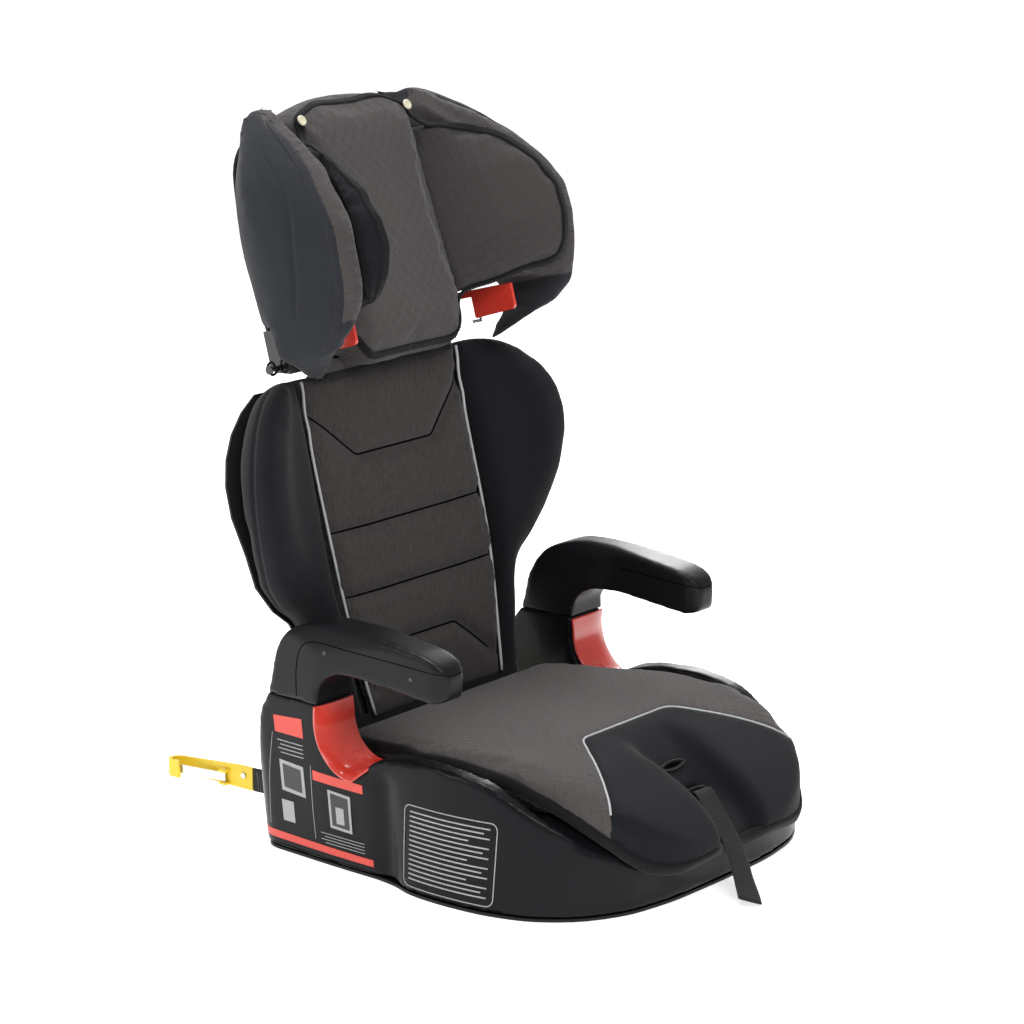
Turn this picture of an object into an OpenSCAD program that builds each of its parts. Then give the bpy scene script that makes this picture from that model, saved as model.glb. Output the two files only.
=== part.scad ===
// High-back child booster seat: hollow base with armrests, pivoting back,
// sliding headrest, belt guides and two strap-mounted hooks.
// Origin: centre of the base on the floor. +Z up, the child faces -Y.
// "Left" is the -X side.

/* [Base] */
// Half width of the base at its widest, at floor level
base_half_w = 221; // [216:1:226]
// Wall thickness of the moulded base
base_wall = 4; // [3:0.5:5]
// Height of the deck that carries the cushion
deck_z = 90; // [86:1:92]
// Thickness of the bottom pan
pan_t = 3; // [2:0.5:4]

/* [Armrests] */
// Outer face of the armrest column, from the middle
arm_out = 224; // [222:1:226]
// Inner face of the armrest column, from the middle
arm_in = 170; // [169:1:172]
// Height of the joint between armrest and base
arm_joint_z = 165; // [164:0.5:166]

/* [Back] */
// Backward lean of the back at its rear stop, in degrees
lean = 15; // [13:0.5:16]
// Half width of the middle back panel
panel_half_w = 120; // [118:0.5:121]
// Thickness of the back padding
pad_t = 23; // [20:0.5:24]
// Length of the back along its lean
back_len = 345; // [340:1:348]

/* [Head] */
// Half width of the middle head pad
head_half_w = 84; // [80:1:86]
// Spacing of the height notches
notch_pitch = 25; // [24:0.5:25]
// Number of height notches
notch_count = 7; // [5:1:7]

/* [Hinge] */
// Radius of the steel hinge rod
rod_r = 4; // [3.5:0.25:4.5]
// Radial running clearance on the rod
rod_gap = 0.06; // [0.03:0.01:0.1]

/* [Connectors] */
// Distance of each connector strap from the middle
strap_x = 85; // [80:1:90]
// Width of the webbing
webbing_w = 25; // [22:1:25]
// Thickness of the webbing
webbing_t = 2; // [1.5:0.1:2.4]

/* [Hidden] */
$fn = 48;

// Where the back's own frame stands: the front of its panel at seat height
back_y = 128;
back_z = 118;
// The hinge rod, in the seat's frame
rod_y = 158;
rod_z = 80;
rod_len = 216;
// The same rod, in the back's frame
rod_yl = (rod_y - back_y) * cos(lean) - (rod_z - back_z) * sin(lean);
rod_u = (rod_y - back_y) * sin(lean) + (rod_z - back_z) * cos(lean);
hook_x = 68;
hook_w = 14;
hook_r = 10;
bracket_x = 102;
bracket_w = 10;

// Back: rear plane of the padding, then the shell, then the sliding parts
shell_y = pad_t + 1;
shell_t = 4;
slide_y = shell_y + shell_t + 3;
slide_t = 4;
slide_half_w = 46;
rack_in = 46.4;
rack_out = 60;
rack_low = 168;
lock_u = 180;
lock_r = 3;
lock_y = slide_y + slide_t + lock_r + 3;
lock_stroke = 9;

// ---------------------------------------------------------------- helpers

function unit(v) = v / norm(v);

// A corner point [x, y, d] becomes a curve that starts d before the corner,
// or just short of the side's middle if the side is too short for that
function corner(p, c, n, steps) =
  let (
    m = [c[0], c[1]],
    back = [p[0] - m[0], p[1] - m[1]],
    ahead = [n[0] - m[0], n[1] - m[1]],
    d = min(c[2], 0.49 * norm(back), 0.49 * norm(ahead)),
    a = m + unit(back) * d,
    b = m + unit(ahead) * d
  )
  d == 0 ? [m] : [for (i = [0:steps])
    let (t = i / steps) pow(1 - t, 2) * a + 2 * t * (1 - t) * m + t * t * b];

function rounded(pts, steps = 5) =
  let (n = len(pts))
  [for (i = [0:n - 1]) each corner(pts[(i + n - 1) % n], pts[i], pts[(i + 1) % n], steps)];

// A half outline of [x, y, d] rows with x >= 0, closed by its mirror image
function both_sides(half) =
  let (n = len(half))
  concat(half, [for (i = [n - 1:-1:0]) if (half[i][0] > 0) [-half[i][0], half[i][1], half[i][2]]]);

// Extrudes a side outline of [y, z] points across the seat
module slab(outline, x0, x1) {
  translate([x0, 0, 0]) rotate([90, 0, 90]) linear_extrude(x1 - x0) polygon(outline);
}

// Extrudes a front outline of [x, z] points from y0 back to y1
module front_slab(outline, y0, y1) {
  translate([0, y1, 0]) rotate([90, 0, 0]) linear_extrude(y1 - y0) polygon(outline);
}

module mirrored() {
  children();
  mirror([1, 0, 0]) children();
}

module side(s) {
  if (s < 0) mirror([1, 0, 0]) children();
  else children();
}

// The back's own frame: x across, y rearward, z up along the lean
module back_frame() {
  translate([0, back_y, back_z]) rotate([-lean, 0, 0]) children();
}

// A closed skin over rings that all hold the same number of points
module loft(rings) {
  n = len(rings[0]);
  m = len(rings);
  polyhedron(
    points = [for (r = rings) each r],
    faces = concat(
      [[for (j = [0:n - 1]) j]],
      [for (i = [0:m - 2]) for (j = [0:n - 1])
        let (k = (j + 1) % n) each [
          [i * n + j, (i + 1) * n + k, i * n + k],
          [i * n + j, (i + 1) * n + j, (i + 1) * n + k]]],
      [[for (j = [n - 1:-1:0]) (m - 1) * n + j]]
    ),
    convexity = 8
  );
}

// ---------------------------------------------------------------- base

// Base outline at floor level and at armrest level, right half
base_low = [[0, -210, 0], [78, -208, 20], [134, -198, 20], [176, -174, 20], [205, -137, 18],
  [218, -92, 18], [base_half_w, -45, 18], [218, -4, 12], [208, 22, 9], [204, 46, 8],
  [202, 104, 20], [196, 190, 9], [184, 204, 7], [0, 205, 0]];
base_high = [[0, -206, 0], [68, -203, 20], [120, -191, 20], [158, -168, 20], [184, -134, 18],
  [200, -92, 18], [208, -45, 18], [208, -4, 12], [211, 22, 9], [216, 46, 8],
  [221, 104, 20], [216, 190, 9], [204, 204, 7], [0, 205, 0]];
base_top = 168;

function mixed(t, d = 0) = [for (i = [0:len(base_low) - 1])
  let (
    p = base_low[i] * (1 - t) + base_high[i] * t,
    x = p[0] == 0 ? 0 : p[0] - d,
    y = p[1] - (p[1] > 100 ? d : p[1] < -130 ? -d : 0)
  ) [x, y, p[2]]];

function base_ring(z, d = 0) =
  [for (p = rounded(both_sides(mixed(z / base_top, d)), 3)) [p[0], p[1], z]];

module base_body(z0, z1, d = 0) {
  loft([for (z = [z0, (z0 + z1) / 2, z1]) base_ring(z, d)]);
}

// Side view of the base: nose, rim, belt throat, column, rear
base_side = rounded([[-212, pan_t, 0], [-212, 14, 0], [-203, 46, 8], [-176, 70, 14],
  [-128, 99, 16], [-88, 121, 14], [-40, 128, 20], [12, 127, 12], [46, 119, 10],
  [64, 98, 9], [92, 109, 12], [105, 136, 12], [105, arm_joint_z, 0], [170, arm_joint_z, 0],
  [186, 145, 10], [199, 90, 20], [205, 36, 12], [204, 12, 5], [198, pan_t, 0]]);

// Above this line the seat bay is open
deck = [[-230, 22], [-206, 34], [-188, 55], [-160, 74], [-128, deck_z], [122, deck_z],
  [132, 62], [230, 62], [230, 200], [-230, 200]];
bay_plan = rounded(both_sides([[0, -240, 0], [96, -226, 20], [146, -198, 20], [176, -160, 20],
  [188, -110, 20], [191, -50, 20], [189, 4, 12], [180, 30, 8], [arm_in - 2, 42, 4],
  [arm_in - 2, 230, 0], [0, 230, 0]]));

// The hollow under the deck, between the side walls
under_deck = [[-202, -5], [-202, 26], [-185, 48], [-158, 68], [-125, deck_z - 5],
  [117, deck_z - 5], [127, 57], [198, 57], [198, -5]];
hollow_half_w = 184;

module base_shell() color([0.09, 0.09, 0.10]) {
  difference() {
    intersection() {
      base_body(pan_t, base_top);
      slab(base_side, -240, 240);
    }
    intersection() {
      slab(deck, -240, 240);
      translate([0, 0, 10]) linear_extrude(200) polygon(bay_plan);
    }
    intersection() {
      slab(under_deck, -hollow_half_w, hollow_half_w);
      base_body(-6, 110, 2 * base_wall);
    }
    // hollow rims and hollow columns, open below
    mirrored() {
      translate([195, -80, -1]) cube([9, 92, 118]);
      translate([arm_in + 2, 112, -1]) cube([18, 66, 140]);
      translate([hollow_half_w - 1, -110, -1]) cube([12, 126, 76]);
    }
    // two strap windows in the rear wall
    mirrored() translate([strap_x - 4, 190, 3]) cube([8, 30, webbing_w + 8]);
    // pocket for the strap adjuster
    adjuster_place() translate([-adjuster_half_w - 0.4, -42.4, -36]) cube([2 * adjuster_half_w + 0.8, 52.8, 60]);
  }
  // screw bosses
  mirrored() for (p = screw_spots) translate([p[0], p[1], pan_t + 0.2]) difference() {
    cylinder(h = p[2] - pan_t, r = 6, $fn = 12);
    translate([0, 0, -1]) cylinder(h = 16, r = screw_r + 0.2);
  }
}

module bottom_pan() color([0.07, 0.07, 0.08]) {
  difference() {
    linear_extrude(pan_t - 0.2) polygon(rounded(both_sides(mixed(0, 1)), 3));
    // four drain slots
    mirrored() for (y = [-60, 60])
      translate([80, y, -1]) cube([60, 12, 10]);
    mirrored() for (p = screw_spots) translate([p[0], p[1], -1]) {
      cylinder(h = 10, r = screw_r + 0.2);
      cylinder(h = 1 + screw_head_t + 0.2, r = screw_head_r + 0.2);
    }
  }
}

// Screws that hold the pan to the bosses: x, y, top of the boss
screw_spots = [[60, -150, 74], [150, -100, 86], [140, 150, 58], [60, 178, 58]];
screw_r = 2;
screw_head_r = 4.5;
screw_head_t = 1.6;
module pan_screws() color([0.6, 0.6, 0.62]) {
  mirrored() for (p = screw_spots) translate([p[0], p[1], 0.1]) {
    cylinder(h = screw_head_t, r = screw_head_r);
    cylinder(h = 14, r = screw_r);
  }
}

// Side view of the cushion: top line, rounded nose, underside on the deck
cushion_side = rounded([[132, 92, 4], [134, 118, 8], [60, 124, 20], [-20, 130, 20], [-92, 131, 20],
  [-150, 118, 20], [-205, 90, 18], [-232, 64, 14], [-238, 44, 7], [-226, 30, 4],
  [-208, 38, 6], [-188, 58, 8], [-160, 77, 10], [-128, deck_z + 1.5, 6]]);
cushion_plan = rounded(both_sides([[0, -240, 0], [60, -239, 24], [110, -226, 24], [148, -192, 24],
  [171, -142, 24], [179, -90, 24], [180, -20, 24], [176, 22, 12], [arm_in - 6, 44, 8],
  [arm_in - 6, 92, 8], [150, 134, 10], [0, 134, 0]]));
// The hollow down the middle of the nose, where the strap lies
recess_side = [[-104, 140], [-112, 127.5], [-149, 102], [-172, 83], [-205, 58], [-232, 30],
  [-262, 20], [-262, 140]];
recess_half_w = 34;

module seat_cushion() color([0.27, 0.25, 0.25]) {
  difference() {
    intersection() {
      slab(cushion_side, -185, 185);
      linear_extrude(200) polygon(cushion_plan);
    }
    slab(recess_side, -recess_half_w, recess_half_w);
    // strap slot through the cushion, over the adjuster
    adjuster_place() translate([-15, -41, -70]) cube([30, 11, 90]);
    // slot over the adjuster's button
    adjuster_place() translate([-14, -4.5, -70]) cube([28, 9, 90]);
    // room for the adjuster's frame
    adjuster_place() translate([-adjuster_half_w - 0.4, -42.4, -38]) cube([2 * adjuster_half_w + 0.8, 52.8, 16.6]);
  }
}

// ---------------------------------------------------------------- armrests

// Side view of the whole armrest, column and arm
arm_side = rounded([[105, arm_joint_z + 0.4, 0], [104, 182, 8], [88, 198, 12], [56, 199, 10],
  [-32, 189, 6], [-45, 193, 7], [-47, 222, 12], [-24, 233, 14], [60, 245, 20], [110, 245, 22],
  [147, 231, 18], [162, 204, 12], [170, arm_joint_z + 0.4, 0]]);
// The lower half-shell, under the seam that runs along the outside
arm_low_side = rounded([[90, 150, 0], [90, 180, 4], [60, 180, 0], [-70, 180, 0], [-70, 218, 0],
  [100, 226, 10], [124, 226, 12], [130, 200, 8], [132, 150, 0]]);
arm_plan = rounded([[arm_in, 180, 0], [arm_in, 92, 10], [178, 60, 12], [180, -36, 8], [188, -48, 8],
  [206, -48, 8], [216, -36, 8], [220, 60, 12], [arm_out - 2, 104, 8], [217, 180, 0]]);
arm_front = rounded([[arm_in, 140, 0], [arm_in, 206, 8], [176, 236, 10], [188, 248, 8],
  [206, 248, 8], [218, 238, 10], [arm_out, 206, 8], [arm_out, 140, 0]]);

module arm_body() {
  intersection() {
    slab(arm_side, 160, 230);
    linear_extrude(260) polygon(arm_plan);
    front_slab(arm_front, -70, 190);
  }
}

module arm_upper() {
  difference() {
    arm_body();
    slab(arm_low_side, 150, 240);
  }
}

module arm_lower() {
  intersection() {
    arm_body();
    slab(arm_low_side, 150, 240);
  }
}

module arm_left() color([0.10, 0.10, 0.11]) side(-1) arm_upper();
module arm_right() color([0.10, 0.10, 0.11]) side(1) arm_upper();
module arm_under_left() color([0.11, 0.11, 0.12]) side(-1) arm_lower();
module arm_under_right() color([0.11, 0.11, 0.12]) side(1) arm_lower();

// Small screw plugs on the outside of each lower half-shell
module arm_screws() color([0.55, 0.55, 0.57]) {
  mirrored() for (p = [[94, 218], [-8, 210]])
    translate([arm_out - 2.2, p[0], p[1]]) rotate([0, 90, 0]) cylinder(h = 1.6, r = 2);
}

// Glossy liner of the belt throat: the base's throat line, moved d into the throat
guide_t = 2.6;
function throat(d) = rounded([[105 - d, arm_joint_z - 0.4, 0], [105 - d, 136 + d * 0.23, 12],
  [92 - d * 0.73, 109 + d * 0.79, 12], [64 + d * 0.3, 98 + d * 1.19, 9], [50.5 + d * 0.76, 113.8 + d * 0.65, 0]]);
guide_gap = 0.6;

module belt_guide() {
  outer = throat(guide_gap);
  inner = throat(guide_gap + guide_t);
  slab(concat(outer, [for (i = [len(inner) - 1:-1:0]) inner[i]]), arm_in, arm_out);
}

module belt_guide_left() color([0.80, 0.20, 0.16]) side(-1) belt_guide();
module belt_guide_right() color([0.80, 0.20, 0.16]) side(1) belt_guide();

// ---------------------------------------------------------------- hinge

module hinge_rod() color([0.75, 0.76, 0.78])
  translate([-rod_len / 2, rod_y, rod_z]) rotate([0, 90, 0]) cylinder(h = rod_len, r = rod_r);

module rod_brackets() color([0.15, 0.15, 0.16]) {
  mirrored() translate([bracket_x, 0, 0]) difference() {
    union() {
      translate([0, rod_y, rod_z]) rotate([0, 90, 0]) cylinder(h = bracket_w, r = 9);
      translate([0, rod_y - 9, 62.3]) cube([bracket_w, 18, rod_z - 62.3]);
    }
    translate([-1, rod_y, rod_z]) rotate([0, 90, 0])
      cylinder(h = bracket_w + 2, r = rod_r + rod_gap);
  }
}

// Rubber blocks on the rear ledge; the back leans against them
stop_gap = 0.4;
module rear_stops() color([0.05, 0.05, 0.05]) {
  mirrored() difference() {
    translate([30, 170, 62.3]) cube([24, 34, 40]);
    back_frame() translate([0, -100, -80]) cube([90, 100 + shell_y + shell_t + stop_gap, 200]);
  }
}

// ---------------------------------------------------------------- strap adjuster

adjuster_tilt = 40;
adjuster_half_w = 19;
// The adjuster's frame: y runs up the nose, z stands out of it
module adjuster_place() {
  translate([0, -149, 102]) rotate([adjuster_tilt, 0, 0]) children();
}

module adjuster_frame() color([0.45, 0.46, 0.48]) {
  adjuster_place() difference() {
    translate([-adjuster_half_w, -42, -34]) cube([2 * adjuster_half_w, 52, 12]);
    translate([-15, -38.5, -40]) cube([30, 8, 30]);
    translate([-15, -18, -31.5]) cube([30, 24, 20]);
  }
}

module adjuster_button() color([0.12, 0.12, 0.13]) {
  adjuster_place() translate([-12, -3, -20]) {
    cube([24, 6, 12]);
    translate([-1.5, -1, -1.5]) cube([27, 8, 1.5]);
  }
}

// Short coil under the button, clear of its travel
module adjuster_spring() color([0.7, 0.7, 0.72]) {
  adjuster_place() translate([0, 0, -31.3]) difference() {
    cylinder(h = 5.2, r = 3.2);
    translate([0, 0, -1]) cylinder(h = 8, r = 2.4);
  }
}

// ---------------------------------------------------------------- webbing

// A flat strap swept along route points; up gives its width direction
function strap_ring(route, up, w, t, i) =
  let (
    n = len(route),
    d = unit(route[min(i + 1, n - 1)] - route[max(i - 1, 0)]),
    a = unit(up - d * (up * d)),
    b = cross(d, a)
  )
  [for (c = [[-1, -1], [1, -1], [1, 1], [-1, 1]]) route[i] + a * c[0] * w / 2 + b * c[1] * t / 2];

module strap(route, up, w, t) {
  loft([for (i = [0:len(route) - 1]) strap_ring(route, up, w, t, i)]);
}

// Front strap: up out of the lower slot, down the nose, end on the floor
front_route = [[0, -158, 58], [0, -164, 65], [0, -170, 72], [0, -176, 79], [-1, -182, 84],
  [-3, -189, 82], [-6, -197, 75],
  [-9, -207, 67], [-12, -217, 58], [-14.5, -226, 49], [-17.5, -234, 40], [-22, -242, 31],
  [-28, -250, 22], [-34, -258, 15], [-41, -266, 10], [-47, -272, 6.5]];
// Connector strap: from its anchor out of the rear window, lying on edge on the floor
anchor_y = 158;
connector_route = [for (i = [0:15])
  let (y = anchor_y + 3 + i * 10.2, fall = max(0, min(1, (y - 200) / 84)), sway = max(0, y - 228) / 86)
  [strap_x - 2 * sin(180 * sway), y, 18 - 4 * fall * fall * (3 - 2 * fall)]];

module front_strap() color([0.08, 0.08, 0.08]) strap(front_route, [1, 0, 0], webbing_w, webbing_t);

// Pins inside the base that hold the connector straps
module strap_anchors() color([0.6, 0.6, 0.62]) {
  mirrored() translate([strap_x, anchor_y, 3.3]) {
    cylinder(h = 31, r = 3);
    translate([-7, -9, 0]) cube([14, 14, 2]);
    translate([-7, -9, 29]) cube([14, 14, 2]);
  }
}

module connector_strap(s) color([0.08, 0.08, 0.08])
  side(s) strap(connector_route, [0, 0, 1], webbing_w, webbing_t);
module connector_strap_left() connector_strap(-1);
module connector_strap_right() connector_strap(1);

// ---------------------------------------------------------------- hooks

hook_t = 3;
hook_h = 24;
hook_z = 2;
hook_y0 = 314.5;
hook_tip = 425;
// Plan view of the hook: a strip that turns back on itself at its tip
hook_plan = rounded([[-1.5, hook_y0, 0], [-1.5, hook_tip - 8, 5], [6, hook_tip, 7],
  [17, hook_tip - 7, 5], [18, 402, 1.2], [15, 402, 0], [14, hook_tip - 10, 4],
  [6, hook_tip - 3.4, 5], [1.5, hook_tip - 12, 4], [1.5, hook_y0, 0]]);
gate_y = 350;

module hook_strip() {
  difference() {
    translate([strap_x, 0, hook_z]) linear_extrude(hook_h) polygon(hook_plan);
    // the strip narrows towards its tip
    translate([strap_x - 8, 330, hook_z + hook_h]) rotate([-4.5, 0, 0]) cube([40, 120, 20]);
  }
  // two ears carry the gate's pin
  for (z = [hook_z + 1, hook_z + 14])
    translate([strap_x + 1.3, gate_y - 5, z]) difference() {
      cube([7, 10, 2.4]);
      translate([3.5, 5, -1]) cylinder(h = 5, r = 1.25 + 0.05);
    }
}

module hook(s) color([0.90, 0.76, 0.14]) side(s) hook_strip();
module hook_left() hook(-1);
module hook_right() hook(1);

module hook_rivets() color([0.8, 0.8, 0.8]) {
  mirrored() translate([strap_x - 3.1, 326, hook_z + 14]) rotate([0, 90, 0]) {
    cylinder(h = 1.4, r = 3);
    translate([0, 0, 4.7]) cylinder(h = 1.4, r = 3);
  }
}

// Spring leaf that closes the hook's mouth
module gate_leaf() {
  translate([strap_x + 4.8, gate_y, hook_z + 0.5]) cylinder(h = 17.5, r = 1.25);
  translate([strap_x + 4.8, gate_y, hook_z + 4.2]) rotate([0, 0, -9])
    translate([-0.5, 0, 0]) cube([1, 56, 9]);
}
module gate_left() color([0.78, 0.79, 0.8]) side(-1) gate_leaf();
module gate_right() color([0.78, 0.79, 0.8]) side(1) gate_leaf();

// ---------------------------------------------------------------- back

// Rows of the middle panel: height, half width, how far its front sets back
panel_rows = [[-4, 101, 14], [20, 104, 11], [67, 113, 5], [125, panel_half_w, 0],
  [back_len, panel_half_w, 0]];
panel_w = [for (r = panel_rows) [r[0], r[1]]];
panel_front = [for (r = panel_rows) [r[0], r[2]]];

// Rows of the back's side wing: height, half width, forward reach, rear depth
wing_rows = [
  [-4, 138, -18, 40], [45, 148, -15, 40], [92, 160, -11, 40], [110, 168, -7, 40],
  [126, 188, -1, 38], [153, 208, 10, 34], [186, 222, 25, 24], [225, 230, 38, 14],
  [255, 229, 44, 10], [280, 221, 45, 10], [302, 207, 42, 12], [320, 188, 36, 18],
  [334, 165, 27, 23], [342, 140, 14, 23]
];

// The same rows with others evenly spaced between them
function finer(rows, parts = 3) = concat(
  [for (i = [0:len(rows) - 2]) for (s = [0:parts - 1]) rows[i] * (1 - s / parts) + rows[i + 1] * (s / parts)],
  [rows[len(rows) - 1]]);

function wing_ring(r) =
  let (u = r[0], w = r[1], f = r[2], q = r[3], m = lookup(u, panel_w) + 1, k = w - m,
    y0 = lookup(u, panel_front))
  [[m, y0, u], [m + k * 0.5, y0 - (f + y0) * 0.42, u], [w - 9, -f - 1, u], [w - 2, -f + 2, u],
   [w, -f + 10, u], [w - 1, (q - f) * 0.5 + 4, u], [w - 9, q, u],
   [m + k * 0.45, max(q, pad_t * 0.8), u], [m, pad_t, u]];

module back_wing() loft([for (r = finer(wing_rows)) wing_ring(r)]);

module back_wing_pad_left() color([0.09, 0.09, 0.11]) back_frame() side(-1) back_wing();
module back_wing_pad_right() color([0.09, 0.09, 0.11]) back_frame() side(1) back_wing();

module back_pad() color([0.23, 0.21, 0.21]) back_frame()
  loft([for (r = panel_rows) let (u = min(r[0], back_len - 2))
    [[-r[1], r[2], u], [r[1], r[2], u], [r[1], pad_t, u], [-r[1], pad_t, u]]]);

// Moulded shell behind the padding: a flat plate with a stepped flank behind each wing
flank_in = 14;
plate_in = 6;
plate_top = 334;
function flank_ring(r) =
  let (u = r[0], m = lookup(u, panel_w), b = m + (r[1] - m) * 0.45, q = max(r[3], shell_y), w = r[1] - flank_in)
  [[m - plate_in + 0.4, shell_y, u], [b - 1, q + 3.5, u], [w, q + 3.5, u], [w - 2, q + shell_t + 4, u],
   [b - 2, q + shell_t + 4, u], [m - plate_in + 0.4, shell_y + shell_t, u]];

module back_shell() color([0.08, 0.08, 0.09]) back_frame() {
  front_slab(rounded(both_sides([for (r = panel_rows) [r[1] - plate_in - 1, min(r[0], plate_top), 0]])),
    shell_y, shell_y + shell_t);
  // stiffening ribs
  mirrored() for (x = [72, 88])
    translate([x, shell_y + shell_t - 0.5, 44]) cube([3, 9, 276]);
}

module back_flank() loft([for (r = finer(wing_rows)) if (r[0] <= plate_top) flank_ring(r)]);
module back_flank_left() color([0.08, 0.08, 0.09]) back_frame() side(-1) back_flank();
module back_flank_right() color([0.08, 0.08, 0.09]) back_frame() side(1) back_flank();

// Rear face of the hooks' screw plates
hook_plate_y = shell_y + shell_t + 7;
module back_hooks() color([0.12, 0.12, 0.13]) back_frame() {
  mirrored() difference() {
    union() {
      translate([hook_x, rod_yl, rod_u]) rotate([0, 90, 0]) cylinder(h = hook_w, r = hook_r);
      slab([[shell_y + shell_t + 0.3, 40], [shell_y + shell_t + 0.3, -6], [rod_yl - 8, rod_u + 2],
        [rod_yl + 9, rod_u + 2], [rod_yl + 9, -6], [hook_plate_y, 12], [hook_plate_y, 40]],
        hook_x, hook_x + hook_w);
    }
    translate([hook_x - 1, rod_yl, rod_u]) rotate([0, 90, 0])
      cylinder(h = hook_w + 2, r = rod_r + rod_gap);
    // mouth of the hook
    translate([hook_x - 1, rod_yl - 2.6, rod_u - 14]) cube([hook_w + 2, 5.2, 12]);
  }
}

module back_screws() color([0.6, 0.6, 0.62]) back_frame() {
  mirrored() for (u = [20, 33])
    translate([hook_x + hook_w / 2, hook_plate_y + 0.1, u]) rotate([-90, 0, 0]) cylinder(h = 1.6, r = 4);
}

// Notched rails that carry the slider and hold the lock bar
module height_rack() {
  difference() {
    union() {
      translate([rack_in, shell_y + shell_t + 0.3, rack_low])
        cube([rack_out - rack_in, lock_y - shell_y - shell_t + 2.2, back_len - rack_low - 6]);
      translate([rack_in - 3, slide_y + slide_t + 0.4, rack_low])
        cube([4, 2, back_len - rack_low - 6]);
    }
    for (i = [0:notch_count - 1])
      translate([rack_in - 10, lock_y - lock_r - 0.3, lock_u + i * notch_pitch - lock_r - 0.3])
        cube([40, 20, 2 * lock_r + 0.6]);
    for (i = [0:notch_count - 1])
      translate([rack_in - 10, slide_y + slide_t + 0.2, lock_u + i * notch_pitch - lock_r - 0.3])
        cube([11, 20, 2 * lock_r + 0.6]);
  }
}

module height_rack_left() color([0.14, 0.14, 0.15]) back_frame() side(-1) height_rack();
module height_rack_right() color([0.14, 0.14, 0.15]) back_frame() side(1) height_rack();

// ---------------------------------------------------------------- head

head_low = 353;
head_top = 596;
head_shell_y = 25;

module head_shell() color([0.08, 0.08, 0.09]) back_frame() {
  front_slab(rounded([[-112, head_low, 10], [112, head_low, 10], [128, 470, 30], [116, 560, 24],
    [70, head_top - 4, 30], [-70, head_top - 4, 30], [-116, 560, 24], [-128, 470, 30]]),
    head_shell_y, head_shell_y + shell_t);
  // stiffening ribs
  mirrored() for (x = [70, 96])
    translate([x, head_shell_y + shell_t - 0.5, 380]) cube([3, 8, 160]);
}

module head_slider() color([0.13, 0.13, 0.14]) back_frame() {
  difference() {
    union() {
      translate([-slide_half_w, slide_y, 164]) cube([2 * slide_half_w, slide_t, 256]);
      // foot that screws onto the head shell
      translate([-slide_half_w, head_shell_y + shell_t + 0.2, 372])
        cube([2 * slide_half_w, slide_y - head_shell_y - shell_t, 48]);
      // ears that guide the lock bar
      mirrored() translate([34, slide_y + slide_t - 0.5, 170])
        cube([7, lock_y - slide_y - slide_t + lock_stroke + 7, 20]);
    }
    mirrored() translate([30, lock_y - lock_r - 0.1, lock_u - lock_r - 0.1])
      cube([14, lock_stroke + 2 * lock_r + 0.2, 2 * lock_r + 0.2]);
    // windows that lighten the tongue
    for (u = [205, 255, 305]) translate([-28, slide_y - 1, u]) cube([56, slide_t + 2, 34]);
  }
}

module slider_screws() color([0.6, 0.6, 0.62]) back_frame() {
  mirrored() for (u = [382, 410])
    translate([34, slide_y + slide_t + 0.1, u]) rotate([-90, 0, 0]) cylinder(h = 2, r = 4);
}

// Middle head pad: an arched top, and a deep lower end that overhangs the back
head_pad_side = rounded([[head_shell_y - 1, head_low + 1, 0], [-13, head_low + 1, 0], [-13, 342, 3],
  [-40, 334, 5], [-54, 346, 8], [-56, 400, 20], [-50, 480, 30], [-42, 560, 20], [-32, 600, 8],
  [-10, 606, 8], [head_shell_y - 1, 598, 8]]);
head_pad_face = rounded(both_sides([[0, 334, 0], [64, 334, 16], [head_half_w, 372, 16],
  [head_half_w, 586, 12], [40, 606, 18], [0, 606, 0]]));
module head_pad() color([0.27, 0.25, 0.25]) back_frame() {
  intersection() {
    slab(head_pad_side, -90, 90);
    front_slab(head_pad_face, -60, 60);
  }
}

// Second flap of the cover, under the pad's lower end
module head_flap() color([0.24, 0.22, 0.22]) back_frame()
  front_slab(rounded([[-103, 335, 4], [103, 335, 4], [90, 352.5, 4], [-90, 352.5, 4]]), -11.5, -9.3);

// Rows of the head's side wing: height, leading edge, its reach, outermost point
ear_rows = [
  [392, 171, 140, 182], [416, 171, 148, 183], [446, 173, 151, 184], [476, 171, 150, 184],
  [504, 164, 137, 182], [532, 151, 118, 175], [550, 142, 101, 166], [570, 130, 77, 153],
  [586, 118, 54, 140], [598, 112, 40, 129], [604, 104, 30, 117]
];
// The cover's skirt below the wing: height, half width, reach, start
skirt_rows = [
  [337, 132, 46, 38], [344, 141, 62, 36], [352, 151, 82, 35], [360, 167, 108, 34],
  [376, 172, 131, 33], [391.8, 171, 140, 33]
];
ear_root = head_half_w + 0.5;

function ear_ring(r) =
  let (u = r[0], x = r[1], f = r[2], w = r[3], k = x - ear_root)
  [[ear_root, -8, u], [ear_root + k * 0.42, -f * 0.42, u], [x - k * 0.34, -f * 0.88, u],
   [x - k * 0.18, -f + 3, u], [x - 6, -f, u], [x, -f + 9, u], [w, -f * 0.55, u],
   [w, -f * 0.3, u], [w - 16, -15, u], [w - 42, 4, u], [ear_root, 20, u]];

function skirt_ring(r) =
  let (u = r[0], x = r[1], f = r[2], f0 = r[3])
  [[x + 2 - 12, -f0, u], [x - 14, -f * 0.7, u], [x - 14, -f + 6, u], [x - 6, -f, u],
   [x, -f + 6, u], [x + 6, -f * 0.7, u], [x + 8, -f0, u]];

module ear() {
  loft([for (r = ear_rows) ear_ring(r)]);
  loft([for (r = skirt_rows) skirt_ring(r)]);
}

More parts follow.
